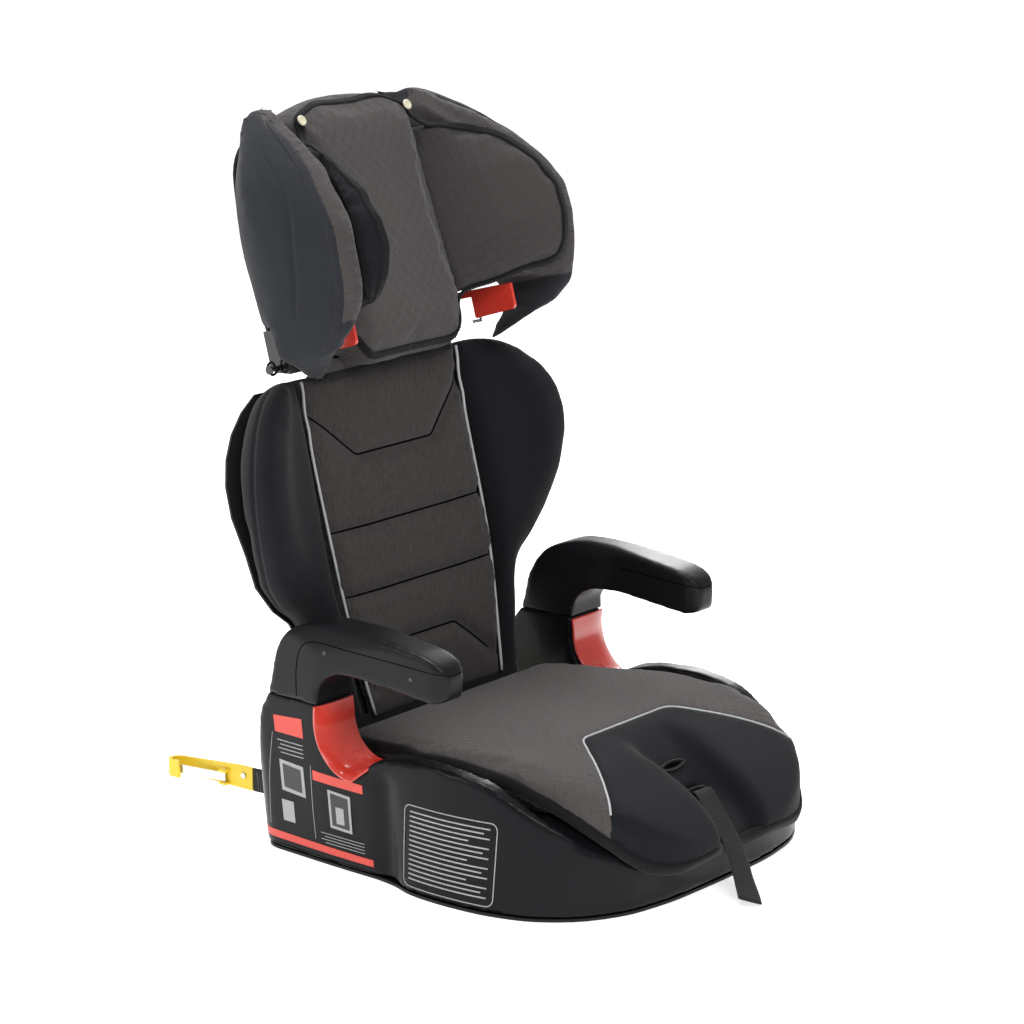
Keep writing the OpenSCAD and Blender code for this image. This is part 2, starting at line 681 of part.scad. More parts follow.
// Thick pad on the inside of each wing: height at its root and at its edge,
// reach of the root, edge across and forward, share of the full depth
inner_rows = [
  [386, 397, 42, 122, 125, 1], [393, 403, 43, 136, 143, 1], [412, 418, 43, 137, 156, 1],
  [446, 446, 41, 134, 165, 1], [477, 477, 37, 136, 162, 1], [505, 505, 34, 132, 147, 1],
  [530, 530, 31, 126, 119, 1], [550, 547, 29, 110, 85, 1], [563, 556, 27, 89, 58, 0.5]
];
ear_x = [for (r = ear_rows) [r[0], r[1]]];
ear_f = [for (r = ear_rows) [r[0], r[2]]];

function inner_ring(r) =
  let (
    x = lookup(r[1], ear_x), f = lookup(r[1], ear_f), k = x - ear_root, um = (r[0] + r[1]) / 2,
    edge = [r[3], -r[4], r[1]],
    near = [ear_root + k * 0.42 - 1.7, -f * 0.42 - 1.5, um],
    deep = [x - k * 0.34 - 2.4, -f * 0.88 - 1.3, r[1]],
    rim = [x - k * 0.18 - 2, -f + 1, r[1]]
  )
  [[85.2, -r[2], r[0]], [85 + (r[3] - 85) * 0.42, -(r[2] + (r[4] - r[2]) * 0.5), um], edge,
   edge + (rim - edge) * r[5], near + (deep - near) * r[5], near, [85.4, -13, r[0]]];

module head_inner_pad() loft([for (r = inner_rows) inner_ring(r)]);
module head_inner_pad_left() color([0.26, 0.24, 0.24]) back_frame() side(-1) head_inner_pad();
module head_inner_pad_right() color([0.26, 0.24, 0.24]) back_frame() side(1) head_inner_pad();

module head_wing_pad_left() color([0.15, 0.16, 0.18]) back_frame() side(-1) ear();
module head_wing_pad_right() color([0.15, 0.16, 0.18]) back_frame() side(1) ear();

// Shoulder-belt guide: a plate and a short hook under a common bar
module shoulder_guide() {
  translate([118, 0, 0]) {
    slab(rounded([[-88, 362, 5], [-34, 359, 3], [-34, 381, 0], [-12, 381, 0], [-15, 366, 2],
      [-6, 364, 2], [0, 380, 0], [0, 388, 0], [-88, 388, 0]]), 0, 4);
  }
}
module shoulder_guide_left() color([0.80, 0.20, 0.16]) back_frame() side(-1) shoulder_guide();
module shoulder_guide_right() color([0.80, 0.20, 0.16]) back_frame() side(1) shoulder_guide();

// Black carrier that ties the guide to the head shell
module guide_bracket() {
  translate([100, 0, 0]) slab([[0.15, 346], [20, 350], [head_shell_y - 0.4, 358],
    [head_shell_y - 0.4, 391], [0.15, 391]], 0, 26);
  // hook for the cover's elastic loop
  translate([126, 14, 354]) rotate([0, 90, 0]) cylinder(h = 12, r = 2.5);
  translate([138, 14, 354]) rotate([0, 90, 0]) cylinder(h = 2, r = 4.5);
}
module guide_bracket_left() color([0.06, 0.06, 0.07]) back_frame() side(-1) guide_bracket();
module guide_bracket_right() color([0.06, 0.06, 0.07]) back_frame() side(1) guide_bracket();

module guide_clips() color([0.85, 0.86, 0.88]) back_frame() {
  mirrored() translate([122.3, -38, 355]) {
    cube([1.2, 12, 3]);
    cube([1.2, 2, 14]);
  }
}

module snap_buttons() color([0.86, 0.83, 0.72]) back_frame() {
  mirrored() translate([77, -37.4, 581]) rotate([76, 0, 0]) cylinder(h = 3, r = 5);
}

module cover_loops() color([0.06, 0.06, 0.06]) back_frame() {
  mirrored() translate([134, 14, 354]) rotate([0, 90, 0])
    rotate_extrude() translate([4.6, 0]) circle(r = 1.5, $fn = 16);
}

// ---------------------------------------------------------------- release

handle_y = slide_y + slide_t + 4;
link_y = slide_y + slide_t + 14;

// Pull handle and the link that runs down to the lock bar
module release_handle() color([0.75, 0.17, 0.14]) back_frame() {
  difference() {
    front_slab(rounded([[-44, 452, 8], [44, 452, 8], [44, 492, 10], [-44, 492, 10]]),
      handle_y, handle_y + 18);
    translate([-32, handle_y - 1, 462]) cube([64, 20, 17]);
  }
  translate([-9, link_y, 196]) cube([18, 3, 262]);
  // wedge that drives the lock bar
  translate([-9, link_y, 188]) cube([18, 3, 10]);
}

module handle_spring() color([0.7, 0.7, 0.72]) back_frame() {
  translate([0, handle_y + 3, 422]) difference() {
    cylinder(h = 29, r = 4);
    translate([0, 0, -1]) cylinder(h = 31, r = 3.1);
  }
}

module lock_bar() color([0.7, 0.71, 0.73]) back_frame()
  translate([-rack_out + 1, lock_y, lock_u]) rotate([0, 90, 0])
    cylinder(h = 2 * (rack_out - 1), r = lock_r);

// ---------------------------------------------------------------- drawing

base_shell();
bottom_pan();
seat_cushion();
pan_screws();
arm_left();
arm_right();
arm_under_left();
arm_under_right();
arm_screws();
belt_guide_left();
belt_guide_right();
hinge_rod();
rod_brackets();
rear_stops();
adjuster_frame();
adjuster_button();
adjuster_spring();
front_strap();
strap_anchors();
connector_strap_left();
connector_strap_right();
hook_left();
hook_right();
hook_rivets();
gate_left();
gate_right();
back_shell();
back_flank_left();
back_flank_right();
back_pad();
back_wing_pad_left();
back_wing_pad_right();
back_hooks();
height_rack_left();
height_rack_right();
back_screws();
head_shell();
head_slider();
head_pad();
head_flap();
head_inner_pad_left();
head_inner_pad_right();
head_wing_pad_left();
head_wing_pad_right();
shoulder_guide_left();
shoulder_guide_right();
guide_bracket_left();
guide_bracket_right();
guide_clips();
snap_buttons();
cover_loops();
slider_screws();
release_handle();
handle_spring();
lock_bar();
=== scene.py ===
"""Looks of the high-back child booster seat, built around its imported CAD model.

Lengths in the tables are millimetres. A "row" point is (x, y, z) in the part's own frame.
A "back" point is (across, forward, up) in the frame of the leaning back.
The right-hand half is described, and the left-hand half is its mirror image.
"""
import math

import bmesh
import bpy
import numpy as np
from mathutils import Matrix, Vector
from mathutils.bvhtree import BVHTree


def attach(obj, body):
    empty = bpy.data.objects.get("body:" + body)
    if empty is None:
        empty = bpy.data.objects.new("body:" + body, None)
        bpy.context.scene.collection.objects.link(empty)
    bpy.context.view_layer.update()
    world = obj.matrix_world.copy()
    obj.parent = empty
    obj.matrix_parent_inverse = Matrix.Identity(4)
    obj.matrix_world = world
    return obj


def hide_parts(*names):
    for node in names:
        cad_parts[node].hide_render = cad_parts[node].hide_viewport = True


MM = 0.001
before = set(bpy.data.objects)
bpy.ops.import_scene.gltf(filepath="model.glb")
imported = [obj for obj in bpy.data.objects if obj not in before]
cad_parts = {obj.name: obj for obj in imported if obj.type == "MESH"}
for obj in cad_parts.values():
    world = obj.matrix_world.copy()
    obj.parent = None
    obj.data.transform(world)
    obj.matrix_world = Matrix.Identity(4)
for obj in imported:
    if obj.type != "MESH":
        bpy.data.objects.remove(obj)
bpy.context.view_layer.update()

LEAN = math.radians(15)
BACK_ORIGIN = (128.0, 118.0)


def row(x, y, z):
    return Vector((x, y, z)) * MM


def back(x, forward, up):
    y = BACK_ORIGIN[0] - forward * math.cos(LEAN) + up * math.sin(LEAN)
    z = BACK_ORIGIN[1] + forward * math.sin(LEAN) + up * math.cos(LEAN)
    return Vector((x, y, z)) * MM


# ---------------------------------------------------------------- camera, light, floor

VIEW_AZIMUTH = math.radians(-51.4)
VIEW_ELEVATION = math.radians(13.9)
VIEW_DISTANCE = 3.4069
VIEW_TARGET = Vector((0, 0.0466, 0.3182))
LENS_MM = 124
# Name, place and aim in metres, size in metres, power in watts
LIGHTS = [
    ("key", (-1.3, -1.9, 2.5), (0, 0, 0.3), (1.5, 1.1), 48),
    ("top", (0.3, 0.5, 2.6), (0, 0, 0.3), (1.3, 1.0), 46),
    ("side", (-2.4, 1.1, 1.5), (0, 0.1, 0.3), (0.3, 1.6), 16),
    ("rim", (2.2, 1.2, 1.4), (0, 0, 0.35), (0.5, 1.6), 20),
]
SKY_BEHIND = 1.02
SKY_ELSEWHERE = 0.34
FLOOR_REACH = 12


def make_camera():
    data = bpy.data.cameras.new("camera")
    data.lens = LENS_MM
    data.clip_end = 30
    camera = bpy.data.objects.new("camera", data)
    bpy.context.scene.collection.objects.link(camera)
    away = Vector((
        math.sin(VIEW_AZIMUTH) * math.cos(VIEW_ELEVATION),
        -math.cos(VIEW_AZIMUTH) * math.cos(VIEW_ELEVATION),
        math.sin(VIEW_ELEVATION),
    ))
    camera.location = VIEW_TARGET + away * VIEW_DISTANCE
    camera.rotation_euler = (-away).to_track_quat("-Z", "Y").to_euler()
    bpy.context.scene.camera = camera


def area_light(name, place, aim, size, power):
    data = bpy.data.lights.new(name, "AREA")
    data.shape = "RECTANGLE"
    data.size, data.size_y = size
    data.energy = power
    light = bpy.data.objects.new(name, data)
    bpy.context.scene.collection.objects.link(light)
    light.location = place
    light.rotation_euler = (Vector(aim) - Vector(place)).to_track_quat("-Z", "Y").to_euler()


def light_sky(world):
    """White behind the object as seen in the main view, and dimmer on the other side."""
    nodes = world.node_tree.nodes
    links = world.node_tree.links
    sky = nodes["Background"]
    sky.inputs["Color"].default_value = (1, 1, 1, 1)
    place = nodes.new("ShaderNodeTexCoord")
    along = nodes.new("ShaderNodeVectorMath")
    along.operation = "DOT_PRODUCT"
    along.inputs[1].default_value = (
        -math.sin(VIEW_AZIMUTH) * math.cos(VIEW_ELEVATION),
        math.cos(VIEW_AZIMUTH) * math.cos(VIEW_ELEVATION),
        -math.sin(VIEW_ELEVATION),
    )
    links.new(place.outputs["Generated"], along.inputs[0])
    ramp = nodes.new("ShaderNodeMapRange")
    ramp.interpolation_type = "SMOOTHSTEP"
    ramp.inputs["From Min"].default_value = 0.35
    ramp.inputs["From Max"].default_value = 0.9
    ramp.inputs["To Min"].default_value = SKY_ELSEWHERE
    ramp.inputs["To Max"].default_value = SKY_BEHIND
    links.new(along.outputs["Value"], ramp.inputs["Value"])
    links.new(ramp.outputs["Result"], sky.inputs["Strength"])


def make_stage():
    scene = bpy.context.scene
    scene.view_settings.view_transform = "Standard"
    world = bpy.data.worlds.new("studio")
    scene.world = world
    world.use_nodes = True
    light_sky(world)
    for light in LIGHTS:
        area_light(*light)
    mesh = bpy.data.meshes.new("floor")
    corners = [(x * FLOOR_REACH, y * FLOOR_REACH, 0) for x, y in ((-1, -1), (1, -1), (1, 1), (-1, 1))]
    mesh.from_pydata(corners, [], [(0, 1, 2, 3)])
    floor = bpy.data.objects.new("floor", mesh)
    scene.collection.objects.link(floor)
    floor.location.z = -0.0005
    paper = bpy.data.materials.new("paper")
    paper.use_nodes = True
    shader = paper.node_tree.nodes["Principled BSDF"]
    shader.inputs["Base Color"].default_value = (0.93, 0.93, 0.93, 1)
    shader.inputs["Roughness"].default_value = 0.9
    shader.inputs["Emission Color"].default_value = (1, 1, 1, 1)
    shader.inputs["Emission Strength"].default_value = 0.66
    mesh.materials.append(paper)


# ---------------------------------------------------------------- materials

class Material:
    """A Principled material with a few helpers for procedural detail in object coordinates."""

    def __init__(self, name, color, roughness, metallic=0.0, tilt=0.0):
        self.material = bpy.data.materials.new(name)
        self.material.use_nodes = True
        self.nodes = self.material.node_tree.nodes
        self.links = self.material.node_tree.links
        self.shader = self.nodes["Principled BSDF"]
        self.color = color
        self.set("Base Color", (*color, 1))
        self.set("Roughness", roughness)
        self.set("Metallic", metallic)
        self.place = self.nodes.new("ShaderNodeTexCoord").outputs["Object"]
        if tilt:
            self.place = self.mapped(rotation=(tilt, 0, 0))
        self.bump_end = None

    def set(self, socket, value):
        self.shader.inputs[socket].default_value = value

    def mapped(self, scale=(1, 1, 1), rotation=(0, 0, 0)):
        node = self.nodes.new("ShaderNodeMapping")
        node.inputs["Scale"].default_value = scale
        node.inputs["Rotation"].default_value = rotation
        self.links.new(self.place, node.inputs["Vector"])
        return node.outputs["Vector"]

    def noise(self, scale, detail=3.0, vector=None):
        node = self.nodes.new("ShaderNodeTexNoise")
        node.inputs["Scale"].default_value = scale
        node.inputs["Detail"].default_value = detail
        self.links.new(self.place if vector is None else vector, node.inputs["Vector"])
        return node.outputs["Fac"]

    def math(self, operation, a, b=None):
        node = self.nodes.new("ShaderNodeMath")
        node.operation = operation
        for socket, value in ((node.inputs[0], a), (node.inputs[1], b)):
            if value is None:
                continue
            if isinstance(value, (int, float)):
                socket.default_value = value
            else:
                self.links.new(value, socket)
        return node.outputs[0]

    def ramp(self, value, low, high, out_low=0.0, out_high=1.0):
        node = self.nodes.new("ShaderNodeMapRange")
        node.inputs["From Min"].default_value = low
        node.inputs["From Max"].default_value = high
        node.inputs["To Min"].default_value = out_low
        node.inputs["To Max"].default_value = out_high
        self.links.new(value, node.inputs["Value"])
        return node.outputs["Result"]

    def tint(self, value, dark, light):
        """Base colour runs between two shares of the material's colour."""
        node = self.nodes.new("ShaderNodeMix")
        node.data_type = "RGBA"
        node.inputs["A"].default_value = (*[c * dark for c in self.color], 1)
        node.inputs["B"].default_value = (*[min(1, c * light) for c in self.color], 1)
        self.links.new(value, node.inputs["Factor"])
        self.links.new(node.outputs["Result"], self.shader.inputs["Base Color"])

    def rough(self, value, low, high):
        self.links.new(self.ramp(value, 0.3, 0.7, low, high), self.shader.inputs["Roughness"])

    def bump(self, height, depth_mm, strength=1.0):
        node = self.nodes.new("ShaderNodeBump")
        node.inputs["Strength"].default_value = strength
        node.inputs["Distance"].default_value = depth_mm * MM
        self.links.new(height, node.inputs["Height"])
        if self.bump_end is not None:
            self.links.new(self.bump_end, node.inputs["Normal"])
        self.bump_end = node.outputs["Normal"]
        self.links.new(self.bump_end, self.shader.inputs["Normal"])

    def axis(self, name):
        node = self.nodes.new("ShaderNodeSeparateXYZ")
        self.links.new(self.place, node.inputs["Vector"])
        return node.outputs[name]

    def lines(self, value, pitch_mm, width_mm):
        """1 on thin lines pitch_mm apart along value, and 0 between them."""
        turns = self.math("DIVIDE", value, pitch_mm * MM)
        off = self.math("ABSOLUTE", self.math("SUBTRACT", self.math("FRACT", turns), 0.5))
        half = 0.5 * width_mm / pitch_mm
        return self.ramp(off, 0.5 - 2 * half, 0.5 - half * 0.6)


def plastic(name, color, roughness, grain=0.05, coat=0.0, specular=0.5):
    m = Material(name, color, roughness)
    m.set("Specular IOR Level", specular)
    m.rough(m.noise(9, 4), roughness - 0.05, roughness + 0.07)
    m.tint(m.noise(6, 2), 0.9, 1.12)
    m.bump(m.noise(1400, 2), grain, 0.35)
    m.bump(m.noise(22, 2), 0.25, 0.12)
    if coat:
        m.set("Coat Weight", coat)
        m.set("Coat Roughness", 0.12)
    return m.material


def metal(name, color, roughness, stretch=(40, 900, 900)):
    m = Material(name, color, roughness, metallic=1.0)
    m.rough(m.noise(1, 3, m.mapped(scale=stretch)), roughness - 0.08, roughness + 0.12)
    m.bump(m.noise(1, 2, m.mapped(scale=stretch)), 0.03, 0.3)
    return m.material


def painted(name, color):
    m = Material(name, color, 0.42)
    m.rough(m.noise(120, 4), 0.34, 0.56)
    m.tint(m.noise(60, 5), 0.82, 1.1)
    m.bump(m.noise(700, 3), 0.08, 0.4)
    return m.material


def knit(m, depth=0.12, pitch=1.1):
    """Fine knitted grain: a small grid in three directions, broken up by noise."""
    wave = 2 * math.pi / (pitch * MM)
    grid = None
    for name in ("X", "Y", "Z"):
        part = m.math("SINE", m.math("MULTIPLY", m.axis(name), wave))
        grid = part if grid is None else m.math("ADD", grid, part)
    mixed = m.math("ADD", m.math("MULTIPLY", grid, 0.22), m.noise(1300, 2))
    m.bump(mixed, depth, 0.55)


def cloth(name, color, sheen=0.25, contrast=0.2, depth=0.12, tilt=0.0):
    m = Material(name, color, 0.92, tilt=tilt)
    fleck = m.noise(950, 4)
    m.tint(fleck, 1 - contrast, 1 + contrast)
    knit(m, depth)
    m.bump(m.noise(45, 3), 0.8, 0.18)
    m.set("Sheen Weight", sheen)
    m.set("Sheen Roughness", 0.5)
    m.set("Specular IOR Level", 0.18)
    return m


def lattice(m, along, up, pitch=10.4, strength=1.0):
    """Embossed double-line diamonds that come and go over the cover."""
    a, b = m.axis(along), m.axis(up)
    total = None
    for sign in (1, -1):
        value = m.math("ADD", a, m.math("MULTIPLY", b, sign))
        for shift in (0.0, 0.0019):
            line = m.lines(m.math("ADD", value, shift + 7), pitch * 1.414, 0.55)
            total = line if total is None else m.math("MAXIMUM", total, line)
    patches = m.ramp(m.noise(9, 1), 0.36, 0.56, 0.18, 1.0)
    shown = m.math("MULTIPLY", total, m.math("MULTIPLY", patches, strength))
    m.bump(shown, 0.9, 1.0)
    return shown


def lattice_cloth(name, color, along, up, tilt=0.0):
    m = cloth(name, color, sheen=0.14, tilt=tilt)
    shown = lattice(m, along, up)
    fleck = m.noise(950, 4)
    m.tint(m.math("ADD", fleck, m.math("MULTIPLY", shown, 1.2)), 0.8, 1.38)
    return m.material


def crossed_cloth(name, color):
    """Cover with short crossing threads, as of a coarse crepe."""
    m = cloth(name, color, sheen=0.08, contrast=0.12, tilt=-LEAN)
    streaks = None
    for turn in (0.75, -0.75):
        streak = m.noise(1, 2, m.mapped(scale=(1500, 90, 160), rotation=(0, turn, 0)))
        streaks = streak if streaks is None else m.math("ADD", streaks, streak)
    m.bump(streaks, 0.35, 0.7)
    m.tint(m.ramp(streaks, 0.75, 1.3), 0.72, 1.35)
    return m.material


def webbing(name, color):
    m = Material(name, color, 0.62)
    ribs = m.math("SINE", m.math("MULTIPLY", m.axis("X"), 2 * math.pi / (1.6 * MM)))
    picks = m.math("SINE", m.math("MULTIPLY", m.axis("Z"), 2 * math.pi / (1.3 * MM)))
    m.bump(m.math("ADD", m.math("MULTIPLY", ribs, 0.6), picks), 0.2, 0.6)
    m.tint(m.noise(500, 3), 0.7, 1.6)
    m.set("Specular IOR Level", 0.2)
    m.set("Sheen Weight", 0.06)
    return m.material


def plain(name, color, roughness, grain_scale=600, depth=0.1):
    m = Material(name, color, roughness)
    m.tint(m.noise(grain_scale, 3), 0.85, 1.15)
    m.bump(m.noise(grain_scale, 3), depth, 0.4)
    return m.material


def joint_and_shade_black(name):
    """Near-black for dark joint lines, and painted shade inside the slots and in the bottom of the sewn
    channels.
    """
    m = Material(name, (0.0012, 0.0012, 0.0014), 0.95)
    m.tint(m.noise(300, 2), 0.8, 1.2)
    m.set("Specular IOR Level", 0.02)
    return m.material


def make_materials():
    taupe = (0.060, 0.053, 0.052)
    head_taupe = (0.049, 0.044, 0.0435)
    return {
        "shell": plastic("satin_black_plastic", (0.0052, 0.0056, 0.0068), 0.30, coat=0.02, specular=0.13),
        "arm": plastic("arm_plastic", (0.0062, 0.0066, 0.0078), 0.34, grain=0.08, coat=0.02, specular=0.18),
        "part": plastic("moulded_black_plastic", (0.009, 0.009, 0.0108), 0.42, specular=0.22),
        "gloss": plastic("glossy_black_plastic", (0.010, 0.010, 0.011), 0.16, grain=0.02, coat=0.6),
        "red": plastic("glossy_red_plastic", (0.62, 0.040, 0.024), 0.24, grain=0.02, coat=0.7),
        "lever": plastic("lever_red_plastic", (0.62, 0.045, 0.028), 0.33, grain=0.04),
        "yellow": painted("yellow_coat", (0.86, 0.62, 0.035)),
        "steel": metal("brushed_steel", (0.60, 0.61, 0.63), 0.32),
        "spring": metal("bright_spring_steel", (0.70, 0.71, 0.73), 0.24),
        "rubber": plain("stop_rubber", (0.02, 0.02, 0.02), 0.85),
        "seat": lattice_cloth("taupe_seat_cloth", taupe, "X", "Y"),
        "head": lattice_cloth("taupe_head_cloth", head_taupe, "X", "Z", tilt=-LEAN),
        "wing": lattice_cloth("taupe_wing_cloth", head_taupe, "Y", "Z", tilt=-LEAN),
        "panel": crossed_cloth("charcoal_crepe", (0.043, 0.038, 0.037)),
        "slate": cloth("slate_cover", (0.0175, 0.0192, 0.0228), sheen=0.12, contrast=0.25).material,
        "black": cloth("black_cover", (0.0066, 0.0070, 0.0092), sheen=0.08, contrast=0.3).material,
        "binding": cloth("black_binding", (0.006, 0.0062, 0.0075), sheen=0.08, contrast=0.4,
                         depth=0.25).material,
        "thread": plain("black_thread", (0.006, 0.006, 0.007), 0.7, 1500),
        "pale_thread": plain("grey_thread", (0.22, 0.22, 0.22), 0.7, 1500),
        "piping": plain("silver_piping", (0.42, 0.43, 0.44), 0.38, 1800, 0.15),
        "webbing": webbing("black_webbing", (0.011, 0.011, 0.012)),
        "button": plastic("cream_button", (0.62, 0.57, 0.42), 0.3, grain=0.02, coat=0.4),
        "groove_and_shade": joint_and_shade_black("joint_line_and_painted_shade"),
        "decal_red": plain("red_print", (0.66, 0.060, 0.040), 0.45, 300, 0.02),
        "decal_line": plain("grey_print", (0.34, 0.34, 0.35), 0.5, 300, 0.02),
        "decal_dark": plain("black_print", (0.016, 0.016, 0.018), 0.42, 300, 0.02),
    }


# ---------------------------------------------------------------- mesh helpers

def new_object(name, vertices, faces, material=None):
    mesh = bpy.data.meshes.new(name)
    mesh.from_pydata([tuple(v) for v in vertices], [], faces)
    mesh.update()
    made = bpy.data.objects.new(name, mesh)
    bpy.context.scene.collection.objects.link(made)
    if material is not None:
        mesh.materials.append(material)
    shade_smooth(made)
    return made


def shade_smooth(obj):
    obj.data.polygons.foreach_set("use_smooth", [True] * len(obj.data.polygons))


def copy_of(name, *nodes):
    """A new object from the meshes of CAD nodes, which themselves stay as they are."""
    shape = bmesh.new()
    for node in nodes:
        shape.from_mesh(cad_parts[node].data)
    mesh = bpy.data.meshes.new(name)
    shape.to_mesh(mesh)
    shape.free()
    made = bpy.data.objects.new(name, mesh)
    bpy.context.scene.collection.objects.link(made)
    return made


def apply(obj, kind, **settings):
    modifier = obj.modifiers.new(kind.lower(), kind)
    for key, value in settings.items():
        setattr(modifier, key, value)
    bake_modifiers(obj)


def bake_modifiers(obj):
    shown = obj.evaluated_get(bpy.context.evaluated_depsgraph_get())
    mesh = bpy.data.meshes.new_from_object(shown)
    obj.modifiers.clear()
    old = obj.data
    obj.data = mesh
    bpy.data.meshes.remove(old)


def remesh(obj, voxel_mm):
    apply(obj, "REMESH", mode="VOXEL", voxel_size=voxel_mm * MM, use_smooth_shade=True)


def relax(obj, times, factor=0.5):
    apply(obj, "SMOOTH", iterations=times, factor=factor)


def relax_where(obj, share, times, factor=0.5):
    """Relaxes a mesh only where share, a function of the places in mm, is above 0."""
    before = places(obj)
    relax(obj, times, factor)
    weight = np.clip(share(before / MM), 0, 1)[:, None]
    put(obj, before + (places(obj) - before) * weight)


def subdivide(obj, levels=1):
    apply(obj, "SUBSURF", levels=levels, render_levels=levels)


def places(obj):
    co = np.empty(len(obj.data.vertices) * 3)
    obj.data.vertices.foreach_get("co", co)
    return co.reshape(-1, 3)


def directions(obj):
    co = np.empty(len(obj.data.vertices) * 3)
    obj.data.vertex_normals.foreach_get("vector", co)
    return co.reshape(-1, 3)


def put(obj, co):
    obj.data.vertices.foreach_set("co", np.ascontiguousarray(co).ravel())
    obj.data.update()


def puff(obj, pressure=4.0, cap_mm=8.0, frames=20):
    """Swells a pad as cloth under pressure, and lets no point move further than the cap."""
    start = places(obj)
    modifier = obj.modifiers.new("cloth", "CLOTH")
    settings = modifier.settings
    settings.use_pressure = True
    settings.uniform_pressure_force = pressure
    settings.quality = 4
    settings.effector_weights.gravity = 0
    scene = bpy.context.scene
    scene.frame_start = 1
    scene.frame_end = frames
    for number in range(1, frames + 1):
        scene.frame_set(number)
    bake_modifiers(obj)
    scene.frame_set(1)
    moved = places(obj) - start
    size = np.linalg.norm(moved, axis=1, keepdims=True)
    limit = cap_mm * MM
    moved *= np.minimum(1, limit / np.maximum(size, 1e-9))
    put(obj, start + moved)


def from_line(co, path):
    """Each point's distance from a polyline."""
    best = np.full(len(co), 1e9)
    for a, b in zip(path[:-1], path[1:], strict=True):
        a, b = np.array(a), np.array(b)
        d = b - a
        t = np.clip(((co - a) @ d) / max(d @ d, 1e-12), 0, 1)
        best = np.minimum(best, np.linalg.norm(co - a - t[:, None] * d, axis=1))
    return best


def crease(obj, path, depth_mm, width_mm, out=None):
    """Draws a sewn channel in along a line on the surface, against its normals or against one direction."""
    co = places(obj)
    pull = np.exp(-(from_line(co, path) / (width_mm * MM)) ** 2) * depth_mm * MM
    put(obj, co - (directions(obj) if out is None else np.array(out)) * pull[:, None])


def mirrored(obj, name):
    mesh = obj.data.copy()
    mesh.transform(Matrix.Scale(-1, 4, (1, 0, 0)))
    mesh.flip_normals()
    made = bpy.data.objects.new(name, mesh)
    bpy.context.scene.collection.objects.link(made)
    return made


def flipped(points):
    return [Vector((-p.x, p.y, p.z)) for p in points]


def curve_through(points, spacing_mm=2.0, closed=False):
    """Points close together on a smooth curve through the given ones."""
    points = [Vector(p) for p in points]
    count = len(points)
    out = []
    spans = count if closed else count - 1
    for i in range(spans):
        if closed:
            p = [points[(i + k) % count] for k in (-1, 0, 1, 2)]
        else:
            p = [points[min(max(i + k, 0), count - 1)] for k in (-1, 0, 1, 2)]
        steps = max(2, int((p[2] - p[1]).length / (spacing_mm * MM)))
        for s in range(steps):
            t = s / steps
            out.append(0.5 * (2 * p[1] + (p[2] - p[0]) * t + (2 * p[0] - 5 * p[1] + 4 * p[2] - p[3]) * t * t
                              + (3 * p[1] - p[0] - 3 * p[2] + p[3]) * t ** 3))
    if not closed:
        out.append(points[-1])
    return out


class Skin:
    """The surface of one or more objects, for laying trims on."""

    def __init__(self, *objects):
        vertices = []
        faces = []
        for obj in objects:
            first = len(vertices)
            vertices += [v.co.copy() for v in obj.data.vertices]
            faces += [[first + i for i in p.vertices] for p in obj.data.polygons]
        self.tree = BVHTree.FromPolygons(vertices, faces)

    def nearest(self, point):
        place, normal, _, _ = self.tree.find_nearest(point)
        return place, normal

    def along(self, point, direction):
        place, normal, _, _ = self.tree.ray_cast(point, direction)
        return place, normal

    def lay(self, points, lift_mm=0.0):
        """The points moved to the surface, with the surface's normal at each."""
        laid = []
        for point in points:
            place, normal = self.nearest(point)
            laid.append((place + normal * lift_mm * MM, normal))
        return laid


def smoothed(laid, times=2, closed=False):
    for _ in range(times):
        again = []
        count = len(laid)
        for i, (place, normal) in enumerate(laid):
            if not closed and i in (0, count - 1):
                again.append((place, normal))
                continue
            before, after = laid[i - 1], laid[(i + 1) % count]
            again.append((place * 0.5 + (before[0] + after[0]) * 0.25,
                          (normal * 0.5 + (before[1] + after[1]) * 0.25).normalized()))
        laid = again
    return laid


def sweep(name, laid, profile, material, closed=False, taper_mm=0.0):
    """Carries a profile of (across, out) points in mm along laid points."""
    count = len(laid)
    vertices = []
    ring = len(profile)
    travel = 0.0
    total = sum((laid[i + 1][0] - laid[i][0]).length for i in range(count - 1))
    for i, (place, normal) in enumerate(laid):
        if closed:
            ahead = laid[(i + 1) % count][0] - laid[i - 1][0]
        else:
            ahead = laid[min(i + 1, count - 1)][0] - laid[max(i - 1, 0)][0]
        if i:
            travel += (place - laid[i - 1][0]).length
        ahead.normalize()
        across = ahead.cross(normal).normalized()
        out = across.cross(ahead).normalized()
        size = 1.0
        if taper_mm and not closed:
            near = min(travel, total - travel) / (taper_mm * MM)
            size = max(0.15, min(1.0, near) ** 0.5) if near < 1 else 1.0
        vertices += [place + (across * a * size + out * b * size) * MM for a, b in profile]
    faces = []
    for i in range(count if closed else count - 1):
        j = (i + 1) % count
        for k in range(ring):
            m = (k + 1) % ring
            faces.append((i * ring + k, i * ring + m, j * ring + m, j * ring + k))
    if not closed:
        faces.append(tuple(range(ring))[::-1])
        faces.append(tuple((count - 1) * ring + k for k in range(ring)))
    made = new_object(name, vertices, faces, material)
    fix_normals(made)
    return made


def fix_normals(obj):
    shape = bmesh.new()
    shape.from_mesh(obj.data)
    bmesh.ops.recalc_face_normals(shape, faces=shape.faces)
    shape.to_mesh(obj.data)
    shape.free()


def round_profile(radius, steps=8):
    return [(radius * math.cos(2 * math.pi * k / steps), radius * math.sin(2 * math.pi * k / steps))
            for k in range(steps)]


